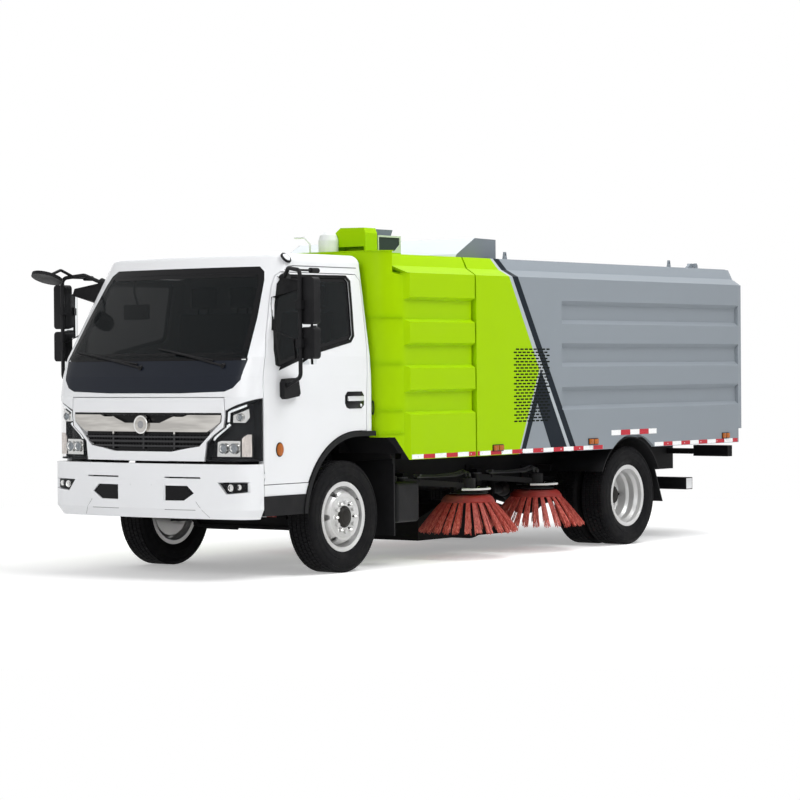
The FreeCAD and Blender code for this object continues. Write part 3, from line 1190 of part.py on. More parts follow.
def build_brush_set(name, centre, side):
    """A swinging arm with its motor, and a disc brush with slanted tufts below it."""
    cx, cy = centre
    pivot_y = cy - arm_pivot_reach
    top = brush_disc_bottom_z + brush_disc_thickness
    motor_base = top + 14
    hinge = bar((arm_pivot_x, pivot_y, 590), (arm_pivot_x, pivot_y, 660), 44)
    beam = prism([(arm_pivot_x, pivot_y, 600), (cx, cy, 560), (cx, cy, 600), (arm_pivot_x, pivot_y, 650)], (34, -22, 0))
    motor = bar((cx, cy, motor_base), (cx, cy, 640), 62)
    cover = turned([(55, motor_base), (150, motor_base), (150, motor_base + 8), (55, motor_base + 30)], (cx, cy, 0))
    arm = fused(hinge, beam, motor, cover)
    arm = arm.cut(bar((arm_pivot_x, pivot_y, 500), (arm_pivot_x, pivot_y, 800), 14.5))
    clip_x = arm_pivot_x + (cx - arm_pivot_x) * 0.2
    clip_y = pivot_y + arm_pivot_reach * 0.2
    hoses = [box(clip_x - 8, clip_x + 50, clip_y - 14, clip_y + 14, 620, 680)]
    for shift, height in ((0.0, 668.0), (34.0, 656.0)):
        hoses.append(bent_tube([(clip_x + shift, clip_y - 30, height), (clip_x + 70 + shift, clip_y + 170, height - 6),
                                (cx - 110 + shift, cy - 40, height + 6), (cx - 70 + shift, cy + 30, height + 30),
                                (cx - 16 + shift, cy, height + 22), (cx - 16 + shift, cy, 630)], 10, 16))
    spray = guard_pipe(cx, cy, motor_base + 40)
    arm = fused(arm, *hoses, *spray)
    disc = turned([(0, top - 8), (0, top), (168, top), (brush_disc_radius - 12, top - 5),
                   (brush_disc_radius + 6, brush_disc_bottom_z), (brush_disc_radius - 20, brush_disc_bottom_z)],
                  (cx, cy, 0))
    hub = bar((cx, cy, top - 8), (cx, cy, motor_base - seat_gap), 40)
    tufts = [tuft(cx, cy, 2 * math.pi * k / brush_tufts) for k in range(brush_tufts)]
    brush = fused(disc, hub, *tufts)
    turn = (lambda s: s) if side > 0 else mirrored
    save("brush_arm_" + name, turn(arm))
    save("brush_" + name, turn(brush))
    bracket = box(rail_outer_x + seat_gap, arm_pivot_x + 30, pivot_y - 34, pivot_y + 34, 664, 690)
    lower = box(rail_outer_x + seat_gap, arm_pivot_x + 30, pivot_y - 34, pivot_y + 34, 560, 586)
    pin = bar((arm_pivot_x, pivot_y, 560), (arm_pivot_x, pivot_y, 690), 14.45)
    back = box(rail_outer_x + seat_gap, rail_outer_x + 14, pivot_y - 60, pivot_y + 60, 560, 720)
    return turn(fused(bracket, lower, pin, back))


def guard_pipe(cx, cy, z):
    """A bent spray pipe over the outer half of a brush, on two stays from the motor."""
    corners = []
    for degrees in (-70, -30, 15, 60, 100):
        angle = math.radians(degrees)
        corners.append((cx + 188 * math.cos(angle), cy + 188 * math.sin(angle), z))
    stays = [bar((cx, cy, z), (cx + 176 * math.cos(math.radians(d)), cy + 176 * math.sin(math.radians(d)), z), 6)
             for d in (-8, 38)]
    return [bent_tube(corners, 9, 60)] + stays


def tuft(cx, cy, angle):
    """One bundle of bristles: a flat strip that widens and slants outwards from the disc's rim."""
    out = V(math.cos(angle), math.sin(angle), 0)
    along = V(-math.sin(angle), math.cos(angle), 0)
    ends = []
    for radius, z, half_width, half_depth in ((brush_disc_radius - 26, brush_disc_bottom_z + 8, 14, 9),
                                              (brush_tip_radius - 12, brush_tip_z, 26, 12)):
        centre = V(cx, cy, z) + out * radius
        corners = [centre + along * (s * half_width) + out * (t * half_depth)
                   for s, t in ((-1, -1), (1, -1), (1, 1), (-1, 1))]
        ends.append(Part.makePolygon(corners + [corners[0]]))
    return Part.makeLoft(ends, True, True)


def build_sweeping_gear():
    """Four brush sets, their frame brackets, and the suction nozzle with its duct."""
    brackets = []
    for side, hand in ((1, "left"), (-1, "right")):
        brackets.append(build_brush_set("front_" + hand, front_brush, side))
        brackets.append(build_brush_set("rear_" + hand, rear_brush, side))
    save("brush_brackets", *brackets)
    n = nozzle_half_width
    body = prism_x([(nozzle_front_y, nozzle_bottom), (nozzle_rear_y, nozzle_bottom), (nozzle_rear_y, nozzle_top - 60),
                    (nozzle_rear_y - 250, nozzle_top), (nozzle_front_y + 300, nozzle_top),
                    (nozzle_front_y, nozzle_top - 100)], -n, n)
    hollow = prism_x([(nozzle_front_y + 30, nozzle_bottom - 10), (nozzle_rear_y - 30, nozzle_bottom - 10),
                      (nozzle_rear_y - 30, nozzle_top - 80), (nozzle_rear_y - 260, nozzle_top - 25),
                      (nozzle_front_y + 310, nozzle_top - 25), (nozzle_front_y + 30, nozzle_top - 120)], 30 - n, n - 30)
    duct_y = front_axle_y + 2520
    bore = bar((duct_x, duct_y, nozzle_top - 60), (duct_x, duct_y, hopper_floor_z), 97)
    save("suction_nozzle", body.cut(hollow).cut(bore))
    duct = bar((duct_x, duct_y, nozzle_top + seat_gap), (duct_x, duct_y, hopper_floor_z - 12), 105).cut(bore)
    hangers = []
    for y in (nozzle_front_y + 400, nozzle_rear_y - 350):
        hangers += pair(fused(box(375, 415, y - 20, y + 20, 300, rail_bottom - seat_gap),
                              box(n + seat_gap, 400, y - 20, y + 20, 300, 335)))
    save("nozzle_mountings", duct, *hangers)


def main():
    """Builds every node of the truck."""
    os.makedirs("parts", exist_ok=True)
    build_cab(cab_outer())
    build_windshield()
    build_cowl()
    build_wipers()
    build_headlamps()
    build_lid()
    build_flares()
    build_cab_interior()
    build_seats()
    for name, side in (("left", 1), ("right", -1)):
        build_door(name, side)
        build_mirror(name, side)
        build_knuckle(name, side)
    build_frame()
    build_subframe()
    build_power_unit()
    build_front_axle()
    build_springs()
    build_rear_axle()
    build_tie_rod()
    build_wheels()
    build_tanks()
    build_bumper()
    build_cab_underframe()
    build_mudflaps()
    build_underrun()
    build_water_tank()
    build_hopper()
    build_roof_cowl()
    build_tip_cylinders()
    build_tailgate()
    build_sweeping_gear()


main()
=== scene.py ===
"""Looks of the street sweeper truck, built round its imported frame.

Metres. The truck faces -Y, its left side is +X, and the origin is on the ground below its middle.
"""

import logging
import math
import random
from dataclasses import dataclass
from enum import Enum
from functools import cached_property

import bmesh
import bpy
from mathutils import Matrix, Vector
from mathutils.bvhtree import BVHTree


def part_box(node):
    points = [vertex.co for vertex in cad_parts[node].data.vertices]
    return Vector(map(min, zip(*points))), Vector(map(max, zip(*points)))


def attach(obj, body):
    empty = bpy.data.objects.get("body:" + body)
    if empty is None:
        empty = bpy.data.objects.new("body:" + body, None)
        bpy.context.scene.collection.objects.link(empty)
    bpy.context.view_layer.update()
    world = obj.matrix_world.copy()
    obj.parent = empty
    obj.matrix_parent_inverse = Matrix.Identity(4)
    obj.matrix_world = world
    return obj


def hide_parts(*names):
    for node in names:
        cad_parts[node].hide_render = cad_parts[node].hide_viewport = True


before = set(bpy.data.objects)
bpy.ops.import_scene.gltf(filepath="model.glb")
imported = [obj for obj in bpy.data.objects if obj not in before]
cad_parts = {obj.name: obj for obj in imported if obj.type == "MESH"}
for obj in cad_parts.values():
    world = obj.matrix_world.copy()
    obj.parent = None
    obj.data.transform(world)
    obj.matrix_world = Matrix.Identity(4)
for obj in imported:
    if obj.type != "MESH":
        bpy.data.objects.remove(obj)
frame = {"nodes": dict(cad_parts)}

LOG = logging.getLogger("sweeper_truck")

Colour = tuple[float, float, float]
Point = tuple[float, float, float]
Span = tuple[float, float]
Outline = list[tuple[float, float]]
Socket = bpy.types.NodeSocket

X_AXIS, Y_AXIS, Z_AXIS = range(3)
FRONT_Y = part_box("bumper")[0].y
BODY_HALF_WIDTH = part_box("hopper_shell")[1].x
TAIL_Y = 3.45
FAR_OUT = 6.0
AXLE_Y = -2.240
BRUSH_CENTRES = {"front": (0.820, -0.460), "rear": (0.790, 0.560)}


class Side(Enum):
    """A side of the truck, by the sign of its X."""

    LEFT = 1
    RIGHT = -1


# Finishes


def shade(colour: Colour, factor: float, lift: float = 0.0) -> Colour:
    """A colour made darker or lighter."""
    return tuple(min(1.0, part * factor + lift) for part in colour)


class Shader:
    """One material's node tree, with short calls that add and link its nodes."""

    def __init__(self, name: str) -> None:
        """Starts a material whose tree holds a Principled shader and Object coordinates.

        Args:
            name: The material's name.
        """
        self.material = bpy.data.materials.new(name)
        self.material.use_nodes = True
        self.tree = self.material.node_tree
        self.surface = self.tree.nodes["Principled BSDF"]
        self.place = self.add("ShaderNodeTexCoord").outputs["Object"]

    @cached_property
    def axes(self) -> tuple[Socket, ...]:
        """The x, y and z of a point on the piece."""
        split = self.add("ShaderNodeSeparateXYZ")
        self.link(self.place, split.inputs[0])
        return tuple(split.outputs)

    def add(self, kind: str, **values: object) -> bpy.types.Node:
        """Adds a node and sets its own properties.

        Args:
            kind: The node's type name.
            **values: Properties by name.

        Returns:
            The new node.
        """
        node = self.tree.nodes.new(kind)
        for key, value in values.items():
            setattr(node, key, value)
        return node

    def link(self, source: object, target: Socket) -> None:
        """Feeds a socket from another one, or sets it to a number or a colour.

        Args:
            source: A socket, a number or a colour.
            target: The socket that takes it.
        """
        if isinstance(source, bpy.types.NodeSocket):
            self.tree.links.new(source, target)
        else:
            target.default_value = (*source, 1.0) if isinstance(source, tuple) else source

    def math(self, operation: str, *inputs: object) -> Socket:
        """Adds a Math node.

        Args:
            operation: The node's operation, such as "ADD".
            *inputs: Its inputs, as sockets or numbers.

        Returns:
            The result's socket.
        """
        node = self.add("ShaderNodeMath", operation=operation)
        for socket, value in zip(node.inputs, inputs):
            self.link(value, socket)
        return node.outputs[0]

    def product(self, first: Socket, *others: object) -> Socket:
        """Multiplies values; of steps, it is 1 where all of them are."""
        for other in others:
            first = self.math("MULTIPLY", first, other)
        return first

    def distance(self, u: Socket, v: Socket) -> Socket:
        """The length of a flat vector."""
        return self.math("SQRT", self.math("ADD", self.product(u, u), self.product(v, v)))

    def within(self, value: Socket, low: float, high: float) -> Socket:
        """A step that is 1 between two values."""
        return self.product(self.math("GREATER_THAN", value, low), self.math("LESS_THAN", value, high))

    def noise(self, scale: float, detail: float = 3.0, stretch: Point = (1.0, 1.0, 1.0)) -> Socket:
        """Adds a noise pattern.

        Args:
            scale: Cells per metre.
            detail: Octaves.
            stretch: Scale along each axis.

        Returns:
            The pattern's value.
        """
        mapping = self.add("ShaderNodeMapping")
        mapping.inputs["Scale"].default_value = stretch
        self.link(self.place, mapping.inputs["Vector"])
        node = self.add("ShaderNodeTexNoise")
        self.link(scale, node.inputs["Scale"])
        self.link(detail, node.inputs["Detail"])
        self.link(mapping.outputs[0], node.inputs["Vector"])
        return node.outputs["Fac"]

    def spread(self, value: Socket, low: float, high: float, to_low: float, to_high: float) -> Socket:
        """Maps a value from one range to another, held at its ends.

        Args:
            value: What is mapped.
            low: The first range's start.
            high: The first range's end.
            to_low: The second range's start.
            to_high: The second range's end.

        Returns:
            The mapped value.
        """
        node = self.add("ShaderNodeMapRange")
        self.link(value, node.inputs["Value"])
        for key, number in (("From Min", low), ("From Max", high), ("To Min", to_low), ("To Max", to_high)):
            self.link(number, node.inputs[key])
        return node.outputs[0]

    def gloss(self, scale: float, low: float, high: float, stretch: Point = (1.0, 1.0, 1.0)) -> Socket:
        """A roughness that wanders between two values by a noise pattern."""
        return self.spread(self.noise(scale, 3.0, stretch), 0.3, 0.7, low, high)

    def mix(self, share: object, first: object, second: object) -> Socket:
        """Mixes two colours.

        Args:
            share: How much of the second one shows.
            first: A colour or a socket.
            second: A colour or a socket.

        Returns:
            The mixed colour.
        """
        node = self.add("ShaderNodeMix", data_type="RGBA")
        self.link(share, node.inputs["Factor"])
        for value, socket in zip((first, second), [s for s in node.inputs if s.type == "RGBA"]):
            self.link(value, socket)
        return next(s for s in node.outputs if s.type == "RGBA")

    def bump(self, height: Socket, depth: float) -> None:
        """Roughens the surface by a height pattern.

        Args:
            height: The pattern.
            depth: Its depth in metres.
        """
        node = self.add("ShaderNodeBump")
        self.link(1.0, node.inputs["Strength"])
        self.link(depth, node.inputs["Distance"])
        self.link(height, node.inputs["Height"])
        self.settings(Normal=node.outputs[0])

    def settings(self, **values: object) -> None:
        """Sets or feeds sockets of the surface shader, named with _ for each space."""
        for key, value in values.items():
            self.link(value, self.surface.inputs[key.replace("_", " ")])


@dataclass(frozen=True)
class Finish:
    """What every finish has: a name, a main colour and a way to make its material."""

    name: str
    colour: Colour

    def material(self) -> bpy.types.Material:
        """Makes the material."""
        shader = Shader(self.name)
        self.dress(shader)
        return shader.material

    def dress(self, shader: Shader) -> None:
        """Sets colour, gloss and grain.

        Args:
            shader: The material's tree.
        """
        raise NotImplementedError


@dataclass(frozen=True)
class Paint(Finish):
    """Coated sheet metal: even colour, a faint film of road dust low down, and a clear coat."""

    roughness: float = 0.28
    coat: float = 0.5
    dust_share: float = 0.10
    specular: float = 0.30
    metallic: float = 0.0
    dust: Colour = (0.32, 0.30, 0.27)

    def dress(self, shader: Shader) -> None:
        """Sets the plain paint."""
        self.lay(shader, self.colour)

    def lay(self, shader: Shader, colour: object) -> None:
        """Lays dust over a colour, and sets gloss.

        Args:
            shader: The material's tree.
            colour: The clean paint's colour or socket.
        """
        cloud = shader.spread(shader.noise(2.2, 4.0), 0.42, 0.72, 0.0, 1.0)
        low = shader.spread(shader.axes[Z_AXIS], 0.3, 1.3, 1.0, 0.25)
        dust = shader.product(cloud, low, self.dust_share)
        shader.settings(Base_Color=shader.mix(dust, colour, self.dust), Metallic=self.metallic,
                        Roughness=shader.math("ADD", shader.product(dust, 1.5), self.roughness),
                        Specular_IOR_Level=self.specular, Coat_Weight=self.coat, Coat_Roughness=0.08)
        shader.bump(shader.noise(55.0, 1.0), 0.00025)


SHEET = Paint("sheet", (0.0, 0.0, 0.0), 0.32, 0.0, 0.03, 0.06)


@dataclass(frozen=True)
class Livery(Finish):
    """The body's colours: green in front, grey behind, and dark stripes between them, on (y, z) lines."""

    grey: Colour
    light: Colour
    dark: Colour
    base_z: float = 0.868
    edge: float = 0.0012

    def beyond(self, shader: Shader, y_at_base: float, slope: float) -> Socket:
        """A soft-edged step that is 1 behind a slanted line.

        Args:
            shader: The material's tree.
            y_at_base: Where the line crosses the base level.
            slope: How far it moves in y for each metre of rise.

        Returns:
            The step's value.
        """
        _, y, z = shader.axes
        line = shader.math("MULTIPLY_ADD", shader.math("SUBTRACT", z, self.base_z), slope, y_at_base)
        return shader.spread(shader.math("SUBTRACT", y, line), -self.edge, self.edge, 0.0, 1.0)

    def dress(self, shader: Shader) -> None:
        """Sets the stripes, the letter form and its inner triangle."""
        past_green = shader.math("MAXIMUM", self.beyond(shader, 0.485, -0.568), self.beyond(shader, -0.168, 0.4495))
        colour = shader.mix(past_green, self.colour, self.light)
        for front, back, tint in (((-0.147, 0.4495), (0.519, -0.587), self.dark),
                                  ((-0.082, 0.463), (0.281, -0.53), self.grey)):
            ahead = shader.math("SUBTRACT", 1.0, self.beyond(shader, *back))
            colour = shader.mix(shader.product(self.beyond(shader, *front), ahead), colour, tint)
        for line, tint in (((0.565, -0.5957), self.dark), ((0.651, -0.5994), self.grey)):
            colour = shader.mix(self.beyond(shader, *line), colour, tint)
        SHEET.lay(shader, colour)


@dataclass(frozen=True)
class ModulePaint(Finish):
    """The front module's green, with its roof gear and low front corners in other colours; the pale front of the roof
    gear is partly painted light from above.
    """

    slate: Colour = (0.16, 0.19, 0.22)
    white: Colour = (0.72, 0.74, 0.74)
    frame: Colour = (0.52, 0.60, 0.50)
    panel: Colour = (0.035, 0.050, 0.048)
    black: Colour = (0.006, 0.006, 0.007)
    roof: Span = (2.429, 3.0)
    screen_z: Span = (2.429, 2.561)
    corner_z: Span = (0.0, 1.003)
    corner_slant: float = 1.2
    corner_edge: float = 0.523

    def dress(self, shader: Shader) -> None:
        """Sets the zones, each by its spans along x, y and z."""
        colour = self.colour
        for spans, tint in ((((0.50, 0.712), (-1.519, -1.10), self.roof), self.slate),
                            (((0.690, 0.75), (-1.498, -1.10), self.screen_z), self.frame),
                            (((0.700, 0.7125), (-1.498, -1.10), self.screen_z), self.panel),
                            # White on the roof gear's front: a pale paint that is partly painted light from above.
                            (((0.0, 0.4385), (-1.90, -1.60), self.roof), self.white),
                            (((-2.0, 2.0), (-1.90, -1.6705), self.roof), self.white),
                            (((-0.90, 0.90), (-1.90, -1.70), (0.0, 1.10)), self.black)):
            zone = [shader.within(value, *span) for value, span in zip(shader.axes, spans)]
            colour = shader.mix(shader.product(*zone), colour, tint)
        x, y, z = shader.axes
        reach = shader.math("ADD", shader.math("ADD", y, z),
                            shader.product(shader.math("ABSOLUTE", x), self.corner_slant))
        corner = shader.product(shader.within(z, *self.corner_z), shader.within(y, -1.90, -1.60),
                                shader.math("LESS_THAN", reach, self.corner_edge))
        SHEET.lay(shader, shader.mix(corner, colour, self.black))


@dataclass(frozen=True)
class CowlTopLitPaint(Finish):
    """The roof cowl's paint: pale on its slopes, partly painted light from above, and darker on its two ends."""

    ends: Colour
    end_depth: float = 0.003

    def dress(self, shader: Shader) -> None:
        """Sets the two tones; the pale one carries painted light from above."""
        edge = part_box("roof_cowl")[1].x - self.end_depth
        at_end = shader.math("GREATER_THAN", shader.math("ABSOLUTE", shader.axes[X_AXIS]), edge)
        Paint(self.name, self.colour, 0.35, 0.0, 0.03, 0.10).lay(shader, shader.mix(at_end, self.colour, self.ends))


@dataclass(frozen=True)
class ArmPaint(Finish):
    """A brush arm's black, with its hoses and its white spray pipe."""

    hose: Colour = (0.085, 0.085, 0.09)
    pipe: Colour = (0.74, 0.75, 0.74)
    hose_z: float = 0.6515
    pipe_z: Span = (0.5455, 0.5665)
    pipe_radius: Span = (0.1775, 0.1985)

    def dress(self, shader: Shader) -> None:
        """Sets the hoses, and a ring round each brush's centre."""
        x, y, z = shader.axes
        colour = shader.mix(shader.math("GREATER_THAN", z, self.hose_z), self.colour, self.hose)
        rings = []
        for centre_x, centre_y in BRUSH_CENTRES.values():
            gap = shader.distance(shader.math("SUBTRACT", shader.math("ABSOLUTE", x), centre_x),
                                  shader.math("SUBTRACT", y, centre_y))
            rings.append(shader.within(gap, *self.pipe_radius))
        ring = shader.product(shader.math("MAXIMUM", *rings), shader.within(z, *self.pipe_z))
        Paint(self.name, self.colour, 0.5, 0.0, 0.08, 0.15).lay(shader, shader.mix(ring, colour, self.pipe))


@dataclass(frozen=True)
class Plastic(Finish):
    """Moulded or textured black plastic, with a fine grain."""

    roughness: float = 0.5
    grain: float = 900.0

    def dress(self, shader: Shader) -> None:
        """Sets the plastic."""
        cloud = shader.spread(shader.noise(3.0, 4.0), 0.4, 0.75, 0.0, 0.35)
        shader.settings(Base_Color=shader.mix(cloud, self.colour, shade(self.colour, 1.5, 0.02)),
                        Roughness=shader.gloss(8.0, self.roughness - 0.06, self.roughness + 0.08),
                        Specular_IOR_Level=0.12)
        shader.bump(shader.noise(self.grain, 1.0), 0.0002)


@dataclass(frozen=True)
class Rubber(Finish):
    """Tyre rubber: near black, matt, with road dust in the low parts."""

    dust: Colour

    def dress(self, shader: Shader) -> None:
        """Sets the rubber."""
        cloud = shader.spread(shader.noise(6.0, 5.0), 0.45, 0.75, 0.0, 0.4)
        shader.settings(Base_Color=shader.mix(cloud, self.colour, self.dust), Roughness=shader.gloss(25.0, 0.55, 0.75),
                        Specular_IOR_Level=0.06)
        shader.bump(shader.noise(420.0, 2.0), 0.0004)


@dataclass(frozen=True)
class Metal(Finish):
    """Bare, plated or cast metal, with brushed or cast grain."""

    roughness: float
    metallic: float = 1.0
    grain: float = 200.0
    depth: float = 0.0002
    stretch: Point = (1.0, 1.0, 1.0)
    stain: Colour | None = None

    def dress(self, shader: Shader) -> None:
        """Sets the metal."""
        cloud = shader.spread(shader.noise(9.0, 4.0), 0.45, 0.8, 0.0, 0.5)
        shader.settings(Base_Color=shader.mix(cloud, self.colour, self.stain or shade(self.colour, 0.75)),
                        Roughness=shader.gloss(30.0, self.roughness * 0.8, self.roughness * 1.25, self.stretch),
                        Metallic=self.metallic)
        shader.bump(shader.noise(self.grain, 2.0, self.stretch), self.depth)


@dataclass(frozen=True)
class Glass(Finish):
    """Tinted window glass or a clear lamp cover, seen through by transparency."""

    alpha: float
    roughness: float = 0.03
    specular: float = 0.14

    def dress(self, shader: Shader) -> None:
        """Sets the glass."""
        film = shader.spread(shader.noise(1.6, 3.0), 0.35, 0.7, self.roughness, self.roughness + 0.05)
        shader.settings(Base_Color=self.colour, Roughness=film, Alpha=self.alpha, Specular_IOR_Level=self.specular)


@dataclass(frozen=True)
class Fabric(Finish):
    """Woven seat cloth."""

    def dress(self, shader: Shader) -> None:
        """Sets the cloth."""
        weave = shader.product(shader.noise(700.0, 1.0, (1.0, 4.0, 1.0)), shader.noise(700.0, 1.0, (4.0, 1.0, 4.0)))
        shader.settings(Base_Color=shader.mix(weave, self.colour, shade(self.colour, 1.7)), Roughness=0.9,
                        Sheen_Weight=0.25)
        shader.bump(weave, 0.0006)


@dataclass(frozen=True)
class GrilleMetal(Finish):
    """The grille's bright bar and badge rim, over dark slats."""

    slat: Colour = (0.014, 0.014, 0.016)
    edge_z: float = 1.0605

    def dress(self, shader: Shader) -> None:
        """Sets the bright metal over the dark slats."""
        bright = shader.math("GREATER_THAN", shader.axes[Z_AXIS], self.edge_z)
        cloud = shader.spread(shader.noise(6.0, 2.0, (0.4, 1.0, 3.0)), 0.40, 0.62, 0.0, 0.6)
        metal = shader.mix(cloud, self.colour, shade(self.colour, 0.55))
        shader.settings(Base_Color=shader.mix(bright, self.slat, metal),
                        Metallic=shader.spread(bright, 0.0, 1.0, 0.2, 1.0),
                        Roughness=shader.spread(bright, 0.0, 1.0, 0.30, 0.10))
        shader.bump(shader.noise(40.0, 1.0), 0.0001)


@dataclass(frozen=True)
class Lens(Finish):
    """A coloured lamp lens with fine vertical prisms."""

    roughness: float = 0.12
    glow: float = 0.0

    def dress(self, shader: Shader) -> None:
        """Sets the lens."""
        prisms = shader.noise(260.0, 1.0, (1.0, 1.0, 0.05))
        cloud = shader.spread(prisms, 0.35, 0.65, 0.0, 1.0)
        shader.settings(Base_Color=shader.mix(cloud, self.colour, shade(self.colour, 0.55)),
                        Roughness=shader.gloss(40.0, self.roughness, self.roughness + 0.08), Specular_IOR_Level=0.25,
                        Emission_Color=self.colour, Emission_Strength=self.glow)
        shader.bump(prisms, 0.0006)


@dataclass(frozen=True)
class Tape(Finish):
    """Retroreflective tape: fine cells over an even colour."""

    def dress(self, shader: Shader) -> None:
        """Sets the tape."""
        cells = shader.spread(shader.noise(320.0, 0.0), 0.45, 0.55, 0.0, 1.0)
        shader.settings(Base_Color=shader.mix(cells, self.colour, shade(self.colour, 1.25, 0.02)),
                        Roughness=shader.spread(cells, 0.0, 1.0, 0.28, 0.36), Specular_IOR_Level=0.2)
        shader.bump(cells, 0.0001)


@dataclass(frozen=True)
class Bristle(Finish):
    """Worn bristle plastic: red that varies from strand to strand and pales towards the tips."""

    pale: Colour

    def dress(self, shader: Shader) -> None:
        """Sets the bristles."""
        strands = shader.spread(shader.noise(70.0, 2.0, (1.0, 1.0, 0.10)), 0.40, 0.60, 0.0, 1.0)
        tips = shader.spread(shader.axes[Z_AXIS], 0.20, 0.46, 0.85, 0.20)
        shader.settings(Base_Color=shader.mix(shader.product(strands, tips), self.colour, self.pale),
                        Roughness=shader.spread(strands, 0.0, 1.0, 0.45, 0.7))
        shader.bump(shader.noise(400.0, 1.0), 0.0003)


class Palette:
    """Every finish of the truck, made once and looked up by name."""

    GREEN = (0.345, 0.585, 0.0)

    FINISHES = (
        Paint("cab_white", (0.80, 0.81, 0.83), 0.25, 0.2, 0.03),
        ModulePaint("module_green", GREEN),
        Livery("body_livery", GREEN, (0.255, 0.285, 0.315), (0.42, 0.46, 0.49), (0.008, 0.013, 0.020)),
        Paint("body_grey", (0.265, 0.295, 0.325), 0.35, 0.0, 0.03, 0.10),
        # Pale slopes: a pale grey that is partly painted light from above.
        CowlTopLitPaint("cowl_paint", (0.62, 0.66, 0.69), (0.175, 0.20, 0.225)),
        Paint("slate_panel", (0.009, 0.012, 0.020), 0.25, 0.0, 0.02, 0.16),
        Paint("chassis_black", (0.006, 0.006, 0.007), 0.6, 0.0, 0.04, 0.08),
        ArmPaint("arm_black", (0.010, 0.010, 0.011)),
        Paint("disc_red", (0.26, 0.020, 0.015), 0.5, 0.0, 0.3, 0.2),
        Paint("wheel_silver", (0.60, 0.60, 0.60), 0.34, 0.0, 0.25, metallic=0.5),
        Paint("hub_dark", (0.007, 0.006, 0.005), 0.45, 0.0, 0.1, 0.15),
        Paint("bright_satin", (0.66, 0.67, 0.68), 0.30, 0.1, 0.05, metallic=0.6),
        Paint("badge_grey", (0.30, 0.30, 0.31), 0.25, 0.2, 0.0, metallic=0.8),
        # Grey lines that paint the shade in the bumper's creases and the roof groove.
        Paint("seam_grey", (0.16, 0.165, 0.17), 0.5, 0.0, 0.1, 0.1),
        # Near black that paints the shade seen through holes.
        Paint("slot_dark", (0.006, 0.008, 0.006), 0.7, 0.0, 0.02, 0.05),
        Paint("glass_black", (0.004, 0.004, 0.005), 0.15, 0.0, 0.0, 0.14),
        Plastic("black_plastic", (0.007, 0.007, 0.008)),
        Plastic("cabin_grey", (0.022, 0.023, 0.025), 0.65, 700.0),
        Bristle("bristle_red", (0.36, 0.026, 0.018), (0.80, 0.24, 0.18)),
        Rubber("tyre_rubber", (0.008, 0.008, 0.009), (0.024, 0.023, 0.022)),
        Rubber("rubber_seal", (0.010, 0.010, 0.011), (0.03, 0.03, 0.03)),
        Metal("bright_chrome", (0.72, 0.72, 0.71), 0.10, depth=0.00004),
        GrilleMetal("grille_metal", (0.60, 0.58, 0.55)),
        Metal("mirror_silver", (0.82, 0.84, 0.85), 0.03, depth=0.00001),
        Metal("cylinder_steel", (0.55, 0.56, 0.57), 0.22, stretch=(1.0, 20.0, 1.0)),
        Metal("cast_iron", (0.035, 0.035, 0.037), 0.6, 0.6, 120.0, 0.0008, stain=(0.06, 0.04, 0.028)),
        Glass("cab_glass", (0.003, 0.005, 0.006), 0.66),
        Glass("lamp_cover", (0.10, 0.11, 0.12), 0.05, 0.02, 0.08),
        Lens("lamp_white", (0.88, 0.90, 0.92), 0.15, 0.40),
        Lens("lens_glass", (0.34, 0.37, 0.40), 0.05),
        Lens("amber_clear", (0.80, 0.74, 0.70), 0.10, 0.15),
        Lens("amber_lamp", (0.50, 0.13, 0.010), 0.15),
        Lens("red_lamp", (0.40, 0.008, 0.008), 0.15),
        Tape("tape_red", (0.42, 0.006, 0.020)),
        Tape("tape_white", (0.78, 0.79, 0.80)),
        Fabric("seat_cloth", (0.035, 0.036, 0.04)),
    )

    # In a node's name, * stands for left and right.
    NODES = {
        "cab_white": "cab_shell lid_panel bumper door_*",
        "module_green": "water_tank",
        "body_livery": "hopper_shell",
        "body_grey": "tailgate",
        "cowl_paint": "roof_cowl",
        "slate_panel": "cowl_panel",
        "chassis_black": "frame_rails frame_crossmembers subframe front_axle springs rear_axle "
                         "underrun_and_tail_lamps brush_brackets suction_nozzle nozzle_mountings "
                         "cab_underframe tie_rod tip_barrels",
        "arm_black": "brush_arm_front_* brush_arm_rear_*",
        "wheel_silver": "wheel_front_* wheels_rear_*",
        "black_plastic": "radiator tanks mudflaps wipers headlamp_housings cab_flares mirror_*",
        "bristle_red": "brush_front_* brush_rear_*",
        "cabin_grey": "cab_interior",
        "tyre_rubber": "tyre_front_* tyres_rear_*",
        "grille_metal": "grille",
        "cylinder_steel": "tip_rods",
        "cast_iron": "engine_block driveline knuckle_*",
        "cab_glass": "windshield door_glass_*",
        "lamp_cover": "lamp_lenses",
        "seat_cloth": "seats",
    }

    def __init__(self) -> None:
        """Makes the materials."""
        self.made = {finish.name: finish.material() for finish in self.FINISHES}

    def dress_nodes(self) -> None:
        """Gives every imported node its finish."""
        for finish, names in self.NODES.items():
            for name in names.split():
                for node in dict.fromkeys(name.replace("*", side.name.lower()) for side in Side):
                    mesh = frame["nodes"][node].data
                    mesh.materials.clear()
                    mesh.materials.append(self.made[finish])
                    LOG.info("dressed %s in %s", node, finish)


# Making pieces


